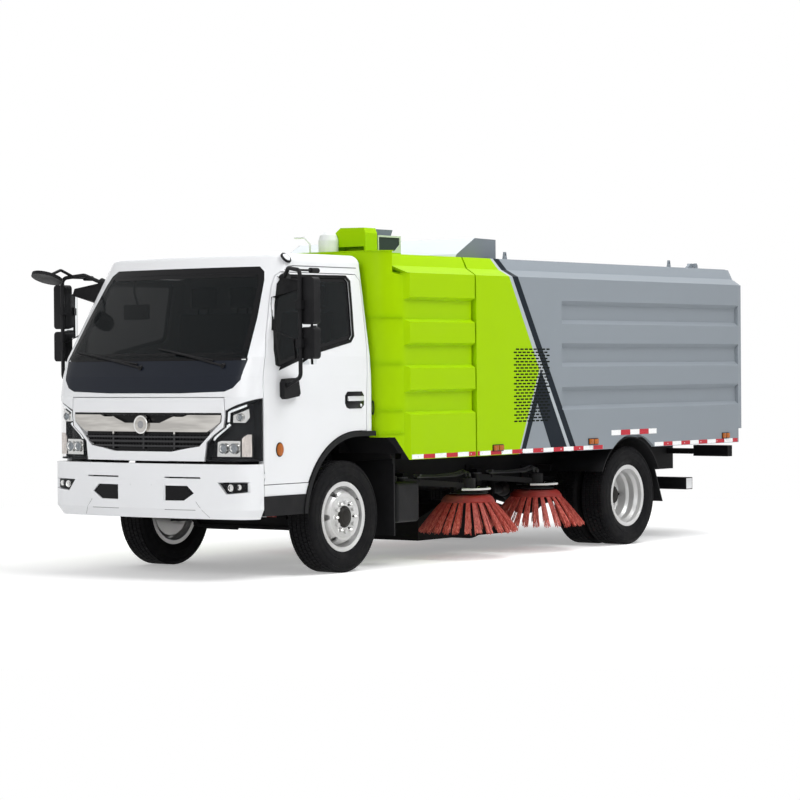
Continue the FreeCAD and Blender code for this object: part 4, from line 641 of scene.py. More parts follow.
class Skin:
    """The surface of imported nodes, which pieces are set on."""

    def __init__(self, *nodes: str) -> None:
        """Gathers the nodes' meshes.

        Args:
            *nodes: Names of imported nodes.
        """
        form = bmesh.new()
        for node in nodes:
            form.from_mesh(frame["nodes"][node].data)
        self.tree = BVHTree.FromBMesh(form)
        form.free()

    def hit(self, start: Point, way: Point) -> Vector | None:
        """Where a line first meets the surface, if it does."""
        return self.tree.ray_cast(Vector(start), Vector(way))[0]

    def from_side(self, side: Side, y: float, z: float, proud: float = 0.0) -> Vector:
        """Where a line across the truck first meets the surface.

        Args:
            side: The side that the line comes from.
            y: The line's y.
            z: The line's z.
            proud: How far outside the surface the answer lies.

        Returns:
            The point, or one at the greatest width where nothing is met.
        """
        sign = side.value
        spot = self.hit((sign * FAR_OUT / 2, y, z), (-sign, 0.0, 0.0)) or Vector((sign * BODY_HALF_WIDTH, y, z))
        return spot + Vector((sign * proud, 0.0, 0.0))

    def from_front(self, x: float, z: float, inset: float = 0.0) -> Vector:
        """Where a line from ahead first meets the surface.

        Args:
            x: The line's x.
            z: The line's z.
            inset: How far behind the surface the answer lies.

        Returns:
            The point, or one at the truck's front where nothing is met.
        """
        spot = self.hit((x, -FAR_OUT, z), (0.0, 1.0, 0.0)) or Vector((x, FRONT_Y, z))
        return spot + Vector((0.0, inset, 0.0))

    def front_line(self, points: Outline, inset: float, drop: float = 0.0) -> list[Vector]:
        """Points seen from ahead for (x, z) pairs, all lowered by the drop."""
        return [self.from_front(x, z - drop, inset) for x, z in points]

    def side_line(self, side: Side, points: Outline, proud: float) -> list[Vector]:
        """Points seen from a side for (y, z) pairs."""
        return [self.from_side(side, y, z, proud) for y, z in points]

    def back_y(self, x: float, z: float) -> float:
        """The y where a line from behind first meets the surface."""
        spot = self.hit((x, FAR_OUT, z), (0.0, -1.0, 0.0))
        return spot.y if spot else TAIL_Y


def behind(depth: float) -> Vector:
    """A plate's thickness towards the rear."""
    return Vector((0.0, depth, 0.0))


def facing_front(spot: Point) -> Matrix:
    """The place of a turned part whose axis points ahead."""
    return Matrix.Translation(spot) @ Matrix.Rotation(math.pi / 2, 4, "X")


def divided(points: Outline, step: float, closed: bool = True, like: Outline | None = None) -> Outline:
    """Divides an outline's runs so that none is longer than the step.

    Args:
        points: The outline's corners.
        step: The greatest distance between two of the new points.
        closed: Whether the last corner joins the first.
        like: Another outline, whose runs set the counts instead.

    Returns:
        The divided outline, which ends at its first point again if it is closed.
    """
    made = []
    model = like or points
    ends, model_ends = (line[1:] + line[:1] if closed else line[1:] for line in (points, model))
    for (u0, v0), (u1, v1), start, end in zip(points, ends, model, model_ends):
        count = max(1, math.ceil(math.hypot(end[0] - start[0], end[1] - start[1]) / step))
        made += [(u0 + (u1 - u0) * k / count, v0 + (v1 - v0) * k / count) for k in range(count)]
    return made + [points[0] if closed else points[-1]]


def shrunk(points: Outline, amount: float) -> Outline:
    """Moves an outline inwards by about the same amount all round.

    Args:
        points: The outline's corners.
        amount: How far; outwards if negative.

    Returns:
        The moved outline.
    """
    area = sum(a[0] * b[1] - b[0] * a[1] for a, b in zip(points, points[1:] + points[:1]))
    turn = math.copysign(1.0, area)
    made = []
    for before, here, after in zip(points[-1:] + points[:-1], points, points[1:] + points[:1]):
        ways = [Vector((here[0] - before[0], here[1] - before[1])).normalized(),
                Vector((after[0] - here[0], after[1] - here[1])).normalized()]
        inward = sum((Vector((-way.y, way.x)) * turn for way in ways), Vector((0.0, 0.0)))
        inward = inward.normalized() * (amount / max(0.5, math.cos(ways[0].angle(ways[1], 0.0) / 2)))
        made.append((here[0] + inward.x, here[1] + inward.y))
    return made


def oval(y: float, z: float, half_y: float, half_z: float, count: int) -> Outline:
    """An ellipse of so many corners."""
    turns = [math.tau * k / count for k in range(count)]
    return [(y + half_y * math.cos(t), z + half_z * math.sin(t)) for t in turns]


def round_edges(part: bmesh.types.BMesh, offset: float, segments: int = 2) -> None:
    """Rounds every edge of a part."""
    bmesh.ops.bevel(part, geom=part.edges[:], offset=offset, segments=segments, affect="EDGES", profile=0.5,
                    material=-1, clamp_overlap=True)


def thicken(part: bmesh.types.BMesh, faces: list[bmesh.types.BMFace], thick: Vector) -> None:
    """Gives faces a thickness."""
    moved = bmesh.ops.extrude_face_region(part, geom=faces)
    bmesh.ops.translate(part, verts=[v for v in moved["geom"] if isinstance(v, bmesh.types.BMVert)], vec=thick)


class Mould:
    """Collects the mesh of one piece, part by part, and makes its object."""

    SHARP = math.radians(35)

    def __init__(self, name: str, body: str, material: bpy.types.Material) -> None:
        """Starts an empty piece.

        Args:
            name: The piece's name.
            body: The body that it rides on.
            material: Its material.
        """
        self.name = name
        self.body = body
        self.mesh = bpy.data.meshes.new(name)
        self.mesh.materials.append(material)
        self.form = bmesh.new()

    def take(self, part: bmesh.types.BMesh, place: Matrix = Matrix()) -> "Mould":
        """Adds a finished part to the piece.

        Args:
            part: The part, which is used up.
            place: Where it goes.

        Returns:
            The mould itself.
        """
        bmesh.ops.recalc_face_normals(part, faces=part.faces)
        part.transform(place)
        part.to_mesh(self.mesh)
        part.free()
        self.form.from_mesh(self.mesh)
        return self

    def block(self, first: Point, second: Point, round_by: float) -> "Mould":
        """Adds a box with rounded edges.

        Args:
            first: One corner.
            second: The opposite corner.
            round_by: The size of the rounding.

        Returns:
            The mould itself.
        """
        low, high = (Vector(end(pair) for pair in zip(first, second)) for end in (min, max))
        part = bmesh.new()
        bmesh.ops.create_cube(part, size=1.0, matrix=Matrix.Diagonal((*(high - low), 1.0)))
        round_edges(part, round_by)
        return self.take(part, Matrix.Translation((low + high) / 2))

    def plate(self, outline: list[Vector], thick: Vector, round_by: float = 0.0) -> "Mould":
        """Adds a flat or curved plate by its outline.

        Args:
            outline: Its corners in order.
            thick: From its outer face to its inner one.
            round_by: The size of its edges' rounding.

        Returns:
            The mould itself.
        """
        part = bmesh.new()
        thicken(part, [part.faces.new([part.verts.new(corner) for corner in outline])], thick)
        if round_by:
            round_edges(part, round_by)
        return self.take(part)

    def ribbon(self, first: list[Vector], second: list[Vector], thick: Vector) -> "Mould":
        """Adds a band between two lines of points, given a thickness.

        Args:
            first: Points of one edge.
            second: As many points of the other.
            thick: From its outer face to its inner one.

        Returns:
            The mould itself.
        """
        part = bmesh.new()
        one, two = ([part.verts.new(point) for point in line] for line in (first, second))
        faces = [part.faces.new((one[k], one[k + 1], two[k + 1], two[k])) for k in range(len(one) - 1)]
        bmesh.ops.remove_doubles(part, verts=part.verts, dist=1e-5)
        thicken(part, [face for face in faces if face.is_valid], thick)
        return self.take(part)

    def lathe(self, profile: list[tuple[float, float]], place: Matrix, steps: int) -> "Mould":
        """Adds a turned part.

        Args:
            profile: (radius, height) pairs.
            place: Where it goes; its axis is local Z.
            steps: Sides of the full turn.

        Returns:
            The mould itself.
        """
        part = bmesh.new()
        verts = [part.verts.new((radius, 0.0, height)) for radius, height in profile]
        edges = [part.edges.new(two) for two in zip(verts, verts[1:])]
        bmesh.ops.spin(part, geom=[*verts, *edges], cent=(0, 0, 0), axis=(0, 0, 1), angle=math.tau, steps=steps,
                       use_merge=True)
        bmesh.ops.remove_doubles(part, verts=part.verts, dist=1e-6)
        return self.take(part, place)

    def rod(self, start: Point, end: Point, radius: float, sides: int = 12) -> "Mould":
        """Adds a round bar with chamfered ends.

        Args:
            start: One end.
            end: The other end.
            radius: Its radius.
            sides: Its number of sides.

        Returns:
            The mould itself.
        """
        run = Vector(end) - Vector(start)
        turn = run.to_track_quat("Z", "Y").to_matrix().to_4x4()
        edge = radius * 0.2
        return self.lathe([(0.0, 0.0), (radius - edge, 0.0), (radius, edge), (radius, run.length - edge),
                           (radius - edge, run.length), (0.0, run.length)], Matrix.Translation(start) @ turn, sides)

    def done(self, smooth: bool = True, *stood_for: str) -> None:
        """Makes the object, and lets it ride on its body.

        Args:
            smooth: Whether gentle edges are shaded smooth.
            *stood_for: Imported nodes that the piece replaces.
        """
        self.form.to_mesh(self.mesh)
        self.form.free()
        if smooth:
            self.mesh.shade_smooth()
            self.mesh.set_sharp_from_angle(angle=self.SHARP)
        piece = bpy.data.objects.new(self.name, self.mesh)
        bpy.context.scene.collection.objects.link(piece)
        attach(piece, self.body)
        if stood_for:
            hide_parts(*stood_for)
        LOG.info("made %s on %s", self.name, self.body)


@dataclass
class Pieces:
    """Pieces that share a palette."""

    palette: Palette

    def mould(self, name: str, body: str, finish: str) -> Mould:
        """Starts a piece with one of the palette's finishes."""
        return Mould(name, body, self.palette.made[finish])

    def build(self) -> None:
        """Makes the pieces."""
        raise NotImplementedError


@dataclass
class SidePieces(Pieces):
    """Pieces of one side of the truck."""

    side: Side

    @property
    def hand(self) -> str:
        """The side's name, as it stands in pieces' names."""
        return self.side.name.lower()

    @property
    def sign(self) -> int:
        """The sign of the side's X."""
        return self.side.value

    def inward(self, depth: float) -> Vector:
        """A plate's thickness towards the truck's middle."""
        return Vector((-self.sign * depth, 0.0, 0.0))

    def across(self, centre: Point) -> Matrix:
        """The place of a turned part whose axis points out of the truck's side."""
        return Matrix.Translation(centre) @ Matrix.Rotation(self.sign * math.pi / 2, 4, "Y")


# Running gear


@dataclass
class Tyre:
    """A road tyre with ribbed sidewalls and a tread of five siped ribs."""

    place: Matrix
    radius: float = 0.420
    half_width: float = 0.120
    bead_radius: float = 0.262
    tread_depth: float = 0.011
    blocks: int = 66
    shoulder: float = 0.09
    ribs: tuple[Span, ...] = ((-0.098, -0.064), (-0.056, -0.022), (-0.0145, 0.0145), (0.022, 0.056), (0.064, 0.098))

    def add_to(self, mould: Mould) -> None:
        """Adds the tyre to a piece.

        Args:
            mould: The piece.
        """
        crown = self.radius - self.tread_depth
        bead, w = self.bead_radius, self.half_width
        half = [(bead - 0.006, w - 0.034), (bead, w - 0.024), (bead + 0.012, w - 0.018), (bead + 0.020, w - 0.010),
                (0.312, w - 0.0035), (0.314, w - 0.001), (0.320, w - 0.001), (0.322, w - 0.003), (0.346, w),
                (0.364, w - 0.0015), (0.366, w - 0.004), (0.384, w - 0.006), (0.386, w - 0.003), (0.395, w - 0.005),
                (crown - 0.006, w - 0.012), (crown, w - 0.020)]
        mould.lathe([*half, *((r, -h) for r, h in reversed(half)), half[0]], self.place, 72)
        for number, (low, high) in enumerate(self.ribs):
            for k in range(self.blocks):
                self.block(mould, math.tau * (k + 0.5 * (number % 2)) / self.blocks, low, high)

    def block(self, mould: Mould, angle: float, low: float, high: float) -> None:
        """Adds one tread block.

        Args:
            mould: The piece.
            angle: The block's place round the tyre.
            low: Its start across the tread.
            high: Its end across the tread.
        """
        pitch = math.tau * self.radius / self.blocks
        top = math.sqrt((self.radius - 0.0002) ** 2 - (pitch * 0.43) ** 2)
        taper = 0.004 if max(abs(low), abs(high)) > self.shoulder else 0.0
        part = bmesh.new()
        bmesh.ops.create_cube(part, size=1.0, matrix=Matrix.Translation((top - 0.0085, 0.0, (low + high) / 2))
                              @ Matrix.Diagonal((0.017, pitch * 0.86, high - low, 1.0)))
        for vert in part.verts:
            if vert.co.x > top - 0.001 and abs(vert.co.z) > self.shoulder:
                vert.co.z -= math.copysign(taper, vert.co.z)
        part.transform(Matrix.Rotation(angle, 4, "Z"))
        mould.take(part, self.place)


class Wheels(SidePieces):
    """Tyres, nut caps and hub parts of one side's wheels, and a dark ring of painted shade behind the rear wheels'
    holes.
    """

    REAR_Y = 1.560
    AXLE_Z = 0.420
    TYRE_XS = {"tyre_front": (0.840,), "tyres_rear": (0.965, 0.685)}
    NUTS = 6
    NUT_CIRCLE = 0.111

    def build(self) -> None:
        """Makes the front wheel's pieces, then those of the rear pair."""
        hand = self.hand
        front, rear = f"front_wheel_{hand}", f"rear_wheels_{hand}"
        for (node, xs), body, y in zip(self.TYRE_XS.items(), (front, rear), (AXLE_Y, self.REAR_Y)):
            mould = self.mould(f"tread_{node}_{hand}", body, "tyre_rubber")
            for x in xs:
                Tyre(self.across((self.sign * x, y, self.AXLE_Z))).add_to(mould)
            mould.done(True, f"{node}_{hand}")
        at = self.across((0.0, AXLE_Y, self.AXLE_Z))
        self.nut_caps(self.mould(f"nut_caps_front_{hand}", front, "bright_chrome"), (0.9465, AXLE_Y), 0.0, 18,
                      [(0.0, 0.0335), (0.009, 0.032), (0.0145, 0.026), (0.0165, 0.012), (0.018, 0.004), (0.021, 0.0)])
        self.mould(f"hub_front_{hand}", front, "hub_dark").lathe(
            [(0.0, 0.9715), (0.030, 0.9712), (0.046, 0.9690), (0.050, 0.966), (0.060, 0.9655), (0.064, 0.9615),
             (0.078, 0.9505), (0.082, 0.9485)], at, 40).done()
        rim = self.mould(f"rim_ring_front_{hand}", front, "wheel_silver").lathe(self.rim_ring(0.9300), at, 64)
        rim.lathe([(0.145, 0.9478), (0.151, 0.9505), (0.157, 0.9478)], at, 56).done()
        valve = self.mould(f"valve_front_{hand}", front, "black_plastic")
        valve.rod((self.sign * 0.928, AXLE_Y + 0.172, self.AXLE_Z + 0.13),
                  (self.sign * 0.956, AXLE_Y + 0.160, self.AXLE_Z + 0.121), 0.005).done()
        at = self.across((0.0, self.REAR_Y, self.AXLE_Z))
        self.nut_caps(self.mould(f"nut_caps_rear_{hand}", rear, "cast_iron"), (0.8695, self.REAR_Y), 0.5, 16,
                      [(0.0, 0.014), (0.009, 0.013), (0.014, 0.004), (0.016, 0.0)])
        self.mould(f"hub_rear_{hand}", rear, "hub_dark").lathe(
            [(0.0, 0.9335), (0.038, 0.9325), (0.052, 0.9300), (0.066, 0.9290), (0.0712, 0.9235), (0.0712, 0.88),
             (0.088, 0.872), (0.09, 0.864)], at, 40).done()
        self.mould(f"rim_ring_rear_{hand}", rear, "wheel_silver").lathe(self.rim_ring(1.0550), at, 64).done()
        # A dark ring behind the outer rear wheel's disc: painted shade seen through the disc's holes.
        self.mould(f"drum_rear_{hand}", rear, "slot_dark").lathe(
            [(0.140, 0.8140), (0.200, 0.8140), (0.200, 0.8165), (0.140, 0.8165), (0.140, 0.8140)], at, 48).done()

    @staticmethod
    def rim_ring(base: float) -> list[tuple[float, float]]:
        """The profile of the rim's bright edge."""
        return [(0.246, base), (0.252, base + 0.0065), (0.262, base + 0.0085), (0.2655, base + 0.0035),
                (0.263, base - 0.001)]

    def nut_caps(self, mould: Mould, at: Span, shift: float, steps: int, profile: list[tuple[float, float]]) -> None:
        """Adds a ring of nut caps and finishes the piece.

        Args:
            mould: The piece.
            at: The ring's distance from the truck's middle, and its y.
            shift: The first cap's turn, in pitches.
            steps: Sides of one cap.
            profile: A cap's profile.
        """
        for k in range(self.NUTS):
            angle = math.tau * (k + shift) / self.NUTS
            mould.lathe(profile, self.across((self.sign * at[0], at[1] + self.NUT_CIRCLE * math.cos(angle),
                                              self.AXLE_Z + self.NUT_CIRCLE * math.sin(angle))), steps)
        mould.done()


# Sweeping gear


@dataclass
class DiscBrush(SidePieces):
    """A disc brush: a dished, thick-rimmed disc and slanted bundles of flat bristles."""

    end: str
    bundles: int = 26
    strands: int = 15
    disc_radius: float = 0.211
    tip_radius: float = 0.398
    disc_low: float = 0.470
    disc_high: float = 0.502
    tip_z: float = 0.203
    bolts: int = 8
    knots: int = 5

    def __post_init__(self) -> None:
        """Sets the brush's centre."""
        x, y = BRUSH_CENTRES[self.end]
        self.centre = (self.sign * x, y)

    def build(self) -> None:
        """Makes the disc, its bolts and the bristles."""
        label = f"{self.end}_{self.hand}"
        x, y = self.centre
        low, high, radius = self.disc_low, self.disc_high, self.disc_radius
        disc = self.mould(f"disc_{label}", f"brush_{label}", "disc_red").lathe(
            [(0.0, high + 0.0135), (0.041, high + 0.0135), (0.044, high), (0.120, high - 0.001), (0.158, high - 0.001),
             (0.166, high + 0.004), (0.176, high + 0.003), (radius - 0.012, high - 0.014),
             (radius + 0.006, low - 0.010), (radius + 0.004, low - 0.020), (radius - 0.006, low - 0.020),
             (radius - 0.05, low + 0.004), (0.0, low + 0.010)], Matrix.Translation((x, y, 0.0)), 64)
        for k in range(self.bolts):
            angle = math.tau * (k + 0.5) / self.bolts
            disc.lathe([(0.0, 0.008), (0.007, 0.008), (0.009, 0.006), (0.009, -0.002)], Matrix.Translation(
                (x + 0.175 * math.cos(angle), y + 0.175 * math.sin(angle), high - 0.003)), 6)
        disc.done()
        chance = random.Random(f"{self.end}{self.hand}")
        bristles = self.mould(f"bristles_{label}", f"brush_{label}", "bristle_red")
        for k in range(self.bundles):
            angle = math.tau * k / self.bundles + chance.uniform(-0.028, 0.028)
            for row in range(2):
                for number in range(self.strands):
                    self.strand(bristles, chance, angle, row, (number + 0.5) / self.strands * 2.0 - 1.0)
        bristles.done(False, f"brush_{label}")

    def strand(self, bristles: Mould, chance: random.Random, angle: float, row: int, share: float) -> None:
        """Adds one flat bristle, bent a little outwards.

        Args:
            bristles: The piece.
            chance: The brush's own random numbers.
            angle: Its bundle's place round the disc.
            row: 0 for the inner row, 1 for the outer one.
            share: Its place across the bundle, from -1 to 1.
        """
        out = Vector((math.cos(angle), math.sin(angle), 0.0))
        way = Vector((-math.sin(angle), math.cos(angle), 0.0))
        reach = self.tip_radius - 0.013 + row * 0.012 + chance.uniform(-0.012, 0.004)
        low = self.tip_z + chance.uniform(0.0, 0.022) + row * 0.008
        spread = 0.027 * share + chance.uniform(-0.003, 0.003)
        width = chance.uniform(0.0011, 0.0019)
        root_radius, root_z, root_spread = self.disc_radius - 0.026, self.disc_low + 0.006, 0.011 * share
        part = bmesh.new()
        rings = []
        for step in range(self.knots):
            u = step / (self.knots - 1)
            radius = root_radius + (reach - root_radius) * u ** 0.94
            z = root_z + (low - root_z) * u ** 1.06
            aside = root_spread + (spread - root_spread) * u + chance.uniform(-0.0015, 0.0015) * u
            knot = Vector((*self.centre, z)) + out * (radius + row * 0.004) + way * aside
            rings.append([part.verts.new(knot + way * (s * width) + out * (t * 0.0012))
                          for s, t in ((-1, -1), (1, -1), (1, 1), (-1, 1))])
        for first, second in zip(rings, rings[1:]):
            for k in range(4):
                part.faces.new((first[k], first[(k + 1) % 4], second[(k + 1) % 4], second[k]))
        part.faces.new(rings[-1])
        part.faces.new(rings[0][::-1])
        bristles.take(part)


class SweepingGear(SidePieces):
    """One side's two disc brushes."""

    def build(self) -> None:
        """Makes both brushes."""
        for end in BRUSH_CENTRES:
            DiscBrush(self.palette, self.side, end).build()


# Cab


class GlassTrim(Pieces):
    """Black borders printed on the windscreen, its joint to the cowl, and the inner mirror."""

    OUTLINE = [(0.880, 1.604), (0.838, 1.903), (0.779, 2.179), (0.752, 2.245), (0.699, 2.283),
               (-0.699, 2.283), (-0.752, 2.245), (-0.779, 2.179), (-0.838, 1.903), (-0.880, 1.604)]
    STEP = 0.06

    def build(self) -> None:
        """Makes the windscreen's pieces, the side windows' borders and the mirror."""
        glass = Skin("windshield")
        outer = shrunk(self.OUTLINE, 0.004)
        inner = divided(shrunk(outer, 0.042), self.STEP, like=outer)
        self.mould("windscreen_border", "cab", "glass_black").ribbon(
            glass.front_line(divided(outer, self.STEP), -0.0012), glass.front_line(inner, -0.0012),
            behind(0.002)).done()
        face = Skin("windshield", "cowl_panel", "cab_shell")
        line = divided([(-0.8825, 1.610), (0.8825, 1.610)], self.STEP, closed=False)
        self.mould("cowl_joint", "cab", "glass_black").ribbon(
            face.front_line(line, -0.0012), face.front_line([(x * 1.003, z) for x, z in line], -0.0012, 0.016),
            behind(0.003)).done()
        line = divided([(-0.70, 2.235), (0.70, 2.235)], 0.07, closed=False)
        self.mould("windscreen_shade", "cab", "glass_black").ribbon(
            glass.front_line(line, -0.0010), glass.front_line(line, -0.0010, 0.030), behind(0.002)).done()
        for side in Side:
            SideWindow(self.palette, side).build()
        spot = glass.from_front(-0.39, 1.97)
        mirror = self.mould("inner_mirror", "cab", "black_plastic")
        mirror.block((spot.x - 0.125, spot.y + 0.070, 1.908), (spot.x + 0.125, spot.y + 0.100, 2.022), 0.012)
        elbow = (spot.x - 0.06, spot.y + 0.125, 2.12)
        mirror.rod((spot.x + 0.01, spot.y + 0.088, 2.015), elbow, 0.009)
        mirror.rod(elbow, (spot.x - 0.09, spot.y + 0.175, 2.21), 0.009).done()


class SideWindow(SidePieces):
    """The printed border and the seal of one door window."""

    OUTLINE = [(AXLE_Y + y, z) for y, z in (
        (-0.771, 1.543), (-0.411, 1.648), (0.086, 1.742), (0.123, 1.779), (0.140, 2.006), (0.148, 2.180),
        (0.111, 2.210), (-0.591, 2.204), (-0.651, 2.190), (-0.685, 2.150), (-0.755, 1.994), (-0.808, 1.812))]
    STEP = 0.08

    def build(self) -> None:
        """Makes both pieces."""
        door = f"door_{self.hand}"
        glass, leaf = Skin(f"door_glass_{self.hand}"), Skin(door)
        outer = shrunk(self.OUTLINE, 0.003)
        self.mould(f"window_border_{self.hand}", door, "glass_black").ribbon(
            glass.side_line(self.side, divided(outer, self.STEP), 0.0012),
            glass.side_line(self.side, divided(shrunk(outer, 0.030), self.STEP, like=outer), 0.0012),
            self.inward(0.002)).done()
        edge = shrunk(self.OUTLINE, -0.005)
        lip, outside = (divided(shrunk(edge, by), self.STEP, like=edge) for by in (0.010, -0.014))
        on_leaf = leaf.side_line(self.side, divided(edge, self.STEP), 0.0022)
        self.mould(f"window_seal_{self.hand}", door, "rubber_seal").ribbon(
            [Vector((spot.x, y, z)) for spot, (y, z) in zip(on_leaf, lip)],
            leaf.side_line(self.side, outside, 0.0022), self.inward(0.003)).done()


@dataclass
class HeadLamp(SidePieces):
    """What shows behind one headlamp's clear cover: light bars, reflectors and the turn lamp."""

    STRIP = [(0.762, 1.150), (0.768, 1.228), (0.905, 1.277), (0.905, 1.262), (0.782, 1.216), (0.778, 1.150)]
    BAR = [(0.775, 1.140), (0.655, 1.050), (0.640, 1.020), (0.652, 1.017), (0.672, 1.040), (0.790, 1.128)]
    UPPER = [(0.797, 1.146), (0.799, 1.200), (0.912, 1.243), (0.918, 1.180), (0.890, 1.146)]
    LOW = [(0.660, 0.900), (0.664, 1.004), (0.694, 1.014), (0.850, 1.014), (0.850, 0.900)]
    TURN = [(0.864, 0.900), (0.864, 1.030), (0.900, 1.060), (0.936, 1.060), (0.936, 0.900)]
    # x, z, the bowl's radius and its projector's.
    BOWLS = ((0.716, 0.960, 0.040, 0.029), (0.804, 0.960, 0.040, 0.029), (0.852, 1.184, 0.030, 0.021))
    BOWL_DEPTH = 0.030
    CORNER_DEPTH = 0.120

    def __post_init__(self) -> None:
        """Finds the lamp's cover."""
        self.cover = Skin("lamp_lenses")

    def spots(self, points: Outline, inset: float) -> list[Vector]:
        """Places behind the cover, kept out of the wrapped-round corner.

        Args:
            points: (x, z) pairs of the left side.
            inset: How far behind the cover they lie.

        Returns:
            The places.
        """
        seen = self.cover.front_line([(self.sign * x, z) for x, z in points], inset)
        for spot in seen:
            spot.y = min(spot.y, FRONT_Y + self.CORNER_DEPTH + inset)
        return seen

    def build(self) -> None:
        """Makes the lamp's inner parts."""
        light = self.mould(f"light_bars_{self.hand}", "cab", "lamp_white")
        for outline in (self.STRIP, self.BAR):
            light.plate(self.spots(outline, 0.014), behind(0.006))
        light.done()
        bowls = self.mould(f"lamp_reflectors_{self.hand}", "cab", "bright_chrome")
        for outline, deep in ((self.UPPER, 0.030), (self.LOW, 0.034)):
            bowls.plate(self.spots(outline, deep), behind(0.004))
        lenses = self.mould(f"lamp_projectors_{self.hand}", "cab", "lens_glass")
        for x, z, wide, small in self.BOWLS:
            here = facing_front(self.spots([(x, z)], self.BOWL_DEPTH)[0])
            bowls.lathe([(wide, 0.010), (wide * 0.94, 0.0105), (wide * 0.86, 0.003), (wide * 0.7, -0.001)], here, 28)
            lenses.lathe([(0.0, 0.016), (small * 0.4, 0.0145), (small * 0.75, 0.0095), (small, 0.001)], here, 28)
        bowls.done()
        lenses.done()
        turn = self.mould(f"turn_lamp_{self.hand}", "cab", "amber_clear")
        turn.plate(self.spots(self.TURN, 0.030), behind(0.004))
        for k in range(7):
            z = 0.918 + 0.020 * k
            rib = [(0.878, z), (0.926, z), (0.926, z + 0.009), (0.878, z + 0.009)]
            turn.plate(self.spots(rib, 0.026), behind(0.004))
        turn.done()


class FrontTrim(Pieces):
    """The grille's mesh and badge disc, painted shade behind and over the grille, and lines and inner parts of the
    front.
    """

    MESH_Z = (0.962, 1.062)
    SHADE_SHEET_TOP = 1.203
    SHADE_SHEET_LOW = 0.925
    BADGE_Z = 1.130
    CREASES = ([(0.510, 0.577), (0.609, 0.461)], [(0.226, 0.5145), (0.505, 0.5145)])

    def build(self) -> None:
        """Makes the front's small parts."""
        bars = Skin("grille")
        grid = self.mould("grille_mesh", "cab", "black_plastic")
        depth = [bars.from_front(-0.585 + 0.030 * k, 1.040, 0.016) for k in range(40)]
        low, high = self.MESH_Z
        for spot in depth:
            grid.block((spot.x - 0.003, spot.y, low), (spot.x + 0.003, spot.y + 0.006, high), 0.001)
        for k in range(5):
            rise = 0.972 + 0.021 * k
            grid.ribbon(*([Vector((p.x, p.y - 0.001, z)) for p in depth] for z in (rise, rise + 0.005)), behind(0.004))
        grid.done()
        here = facing_front((0.0, FRONT_Y + 0.0042, self.BADGE_Z))
        self.mould("badge_ring", "cab", "bright_chrome").lathe(
            [(0.066, -0.002), (0.066, 0.0025), (0.063, 0.004), (0.058, 0.004), (0.055, 0.001), (0.055, -0.002)],
            here, 56).done()
        self.mould("badge_disc", "cab", "badge_grey").lathe(
            [(0.0, 0.003), (0.020, 0.0027), (0.040, 0.0015), (0.055, 0.0)], here, 56).done()
        self.liner(bars)
        self.lines()
        for side in Side:
            BumperTrim(self.palette, side).build()
        RoofLamp(self.palette, Side.LEFT).build()

    def liner(self, bars: Skin) -> None:
        """A dark sheet behind the grille's bars: painted shade of the recess behind them.

        Args:
            bars: The grille's surface.
        """
        top, low = [], []
        for x in (-0.60 + 0.04 * k for k in range(31)):
            y = bars.from_front(x if abs(x) < 0.55 else 0.55, 1.040, 0.024).y
            top.append(Vector((x, y, self.SHADE_SHEET_TOP)))
            low.append(Vector((x, y, self.SHADE_SHEET_LOW + max(0.0, abs(x) - 0.30) * 0.30)))
        # Painted shade: a dark sheet filling the recess behind the bars.
        self.mould("grille_liner", "cab", "glass_black").ribbon(top, low, behind(0.002)).done(False)

    def lines(self) -> None:
        """The dark line over the bright bar, painted shade of the recess under the lid's edge, and grey lines on the
        bumper's creases, painted shade in the folds.
        """
        # A dark ribbon over the bright bar: painted shade of the recess under the lid's edge.
        rim = Skin("lid_panel").front_line([(-0.72 + 0.04 * k, 1.2165) for k in range(37)], -0.0008)
        self.mould("grille_top_line", "cab", "glass_black").ribbon(
            rim, [spot - Vector((0.0, 0.0, 0.0150)) for spot in rim], behind(0.0025)).done()
        bumper = Skin("bumper")
        # Grey ribbons along the bumper's creases: painted shade in the folds.
        crease = self.mould("bumper_creases", "cab", "seam_grey")
        for side in Side:
            for ends in self.CREASES:
                line = divided([(side.value * x, z) for x, z in ends], 0.03, closed=False)
                crease.ribbon(bumper.front_line(line, -0.0006), bumper.front_line(line, -0.0006, 0.004), behind(0.0015))
        crease.done()


class BumperTrim(SidePieces):
    """The dark mesh in one of the bumper's air openings, and the fog lamp's inner parts."""

    VENT = [(0.231, 0.579), (0.403, 0.581), (0.493, 0.635), (0.434, 0.687), (0.231, 0.687)]
    FOG_LOW = [(0.770, 0.636), (0.930, 0.650)]
    FOG_TOP = [(0.709, 0.711), (0.930, 0.714)]
    FOG_BOWLS = ((0.800, 0.678, 0.026), (0.872, 0.683, 0.020))
    ASIDE = 0.012

    def build(self) -> None:
        """Makes the vent's mesh, the fog lamp's back and its reflectors."""
        skin = Skin("bumper")
        corners = []
        for x, z in self.VENT:
            beside = skin.from_front(self.sign * (x + (self.ASIDE if x > 0.3 else -self.ASIDE)),
                                     z + (self.ASIDE if z > 0.6 else -self.ASIDE))
            corners.append(Vector((self.sign * x, beside.y + 0.009, z)))
        self.mould(f"vent_mesh_{self.hand}", "cab", "glass_black").plate(corners, behind(0.004)).done(False)
        skin = Skin("lamp_lenses")
        low, top = ([(self.sign * x, z) for x, z in divided(line, step, closed=False)]
                    for line, step in ((self.FOG_LOW, 0.03), (self.FOG_TOP, 0.0415)))
        self.mould(f"fog_back_{self.hand}", "cab", "glass_black").ribbon(
            skin.front_line(low, 0.011), skin.front_line(top, 0.011), behind(0.003)).done()
        lamp = self.mould(f"fog_reflector_{self.hand}", "cab", "bright_chrome")
        for x, z, radius in self.FOG_BOWLS:
            lamp.lathe([(radius, 0.0), (radius, 0.0025), (radius * 0.85, 0.003), (radius * 0.7, 0.0), (0.0, 0.002)],
                       facing_front(skin.from_front(self.sign * x, z, 0.010)), 24)
        lamp.done()


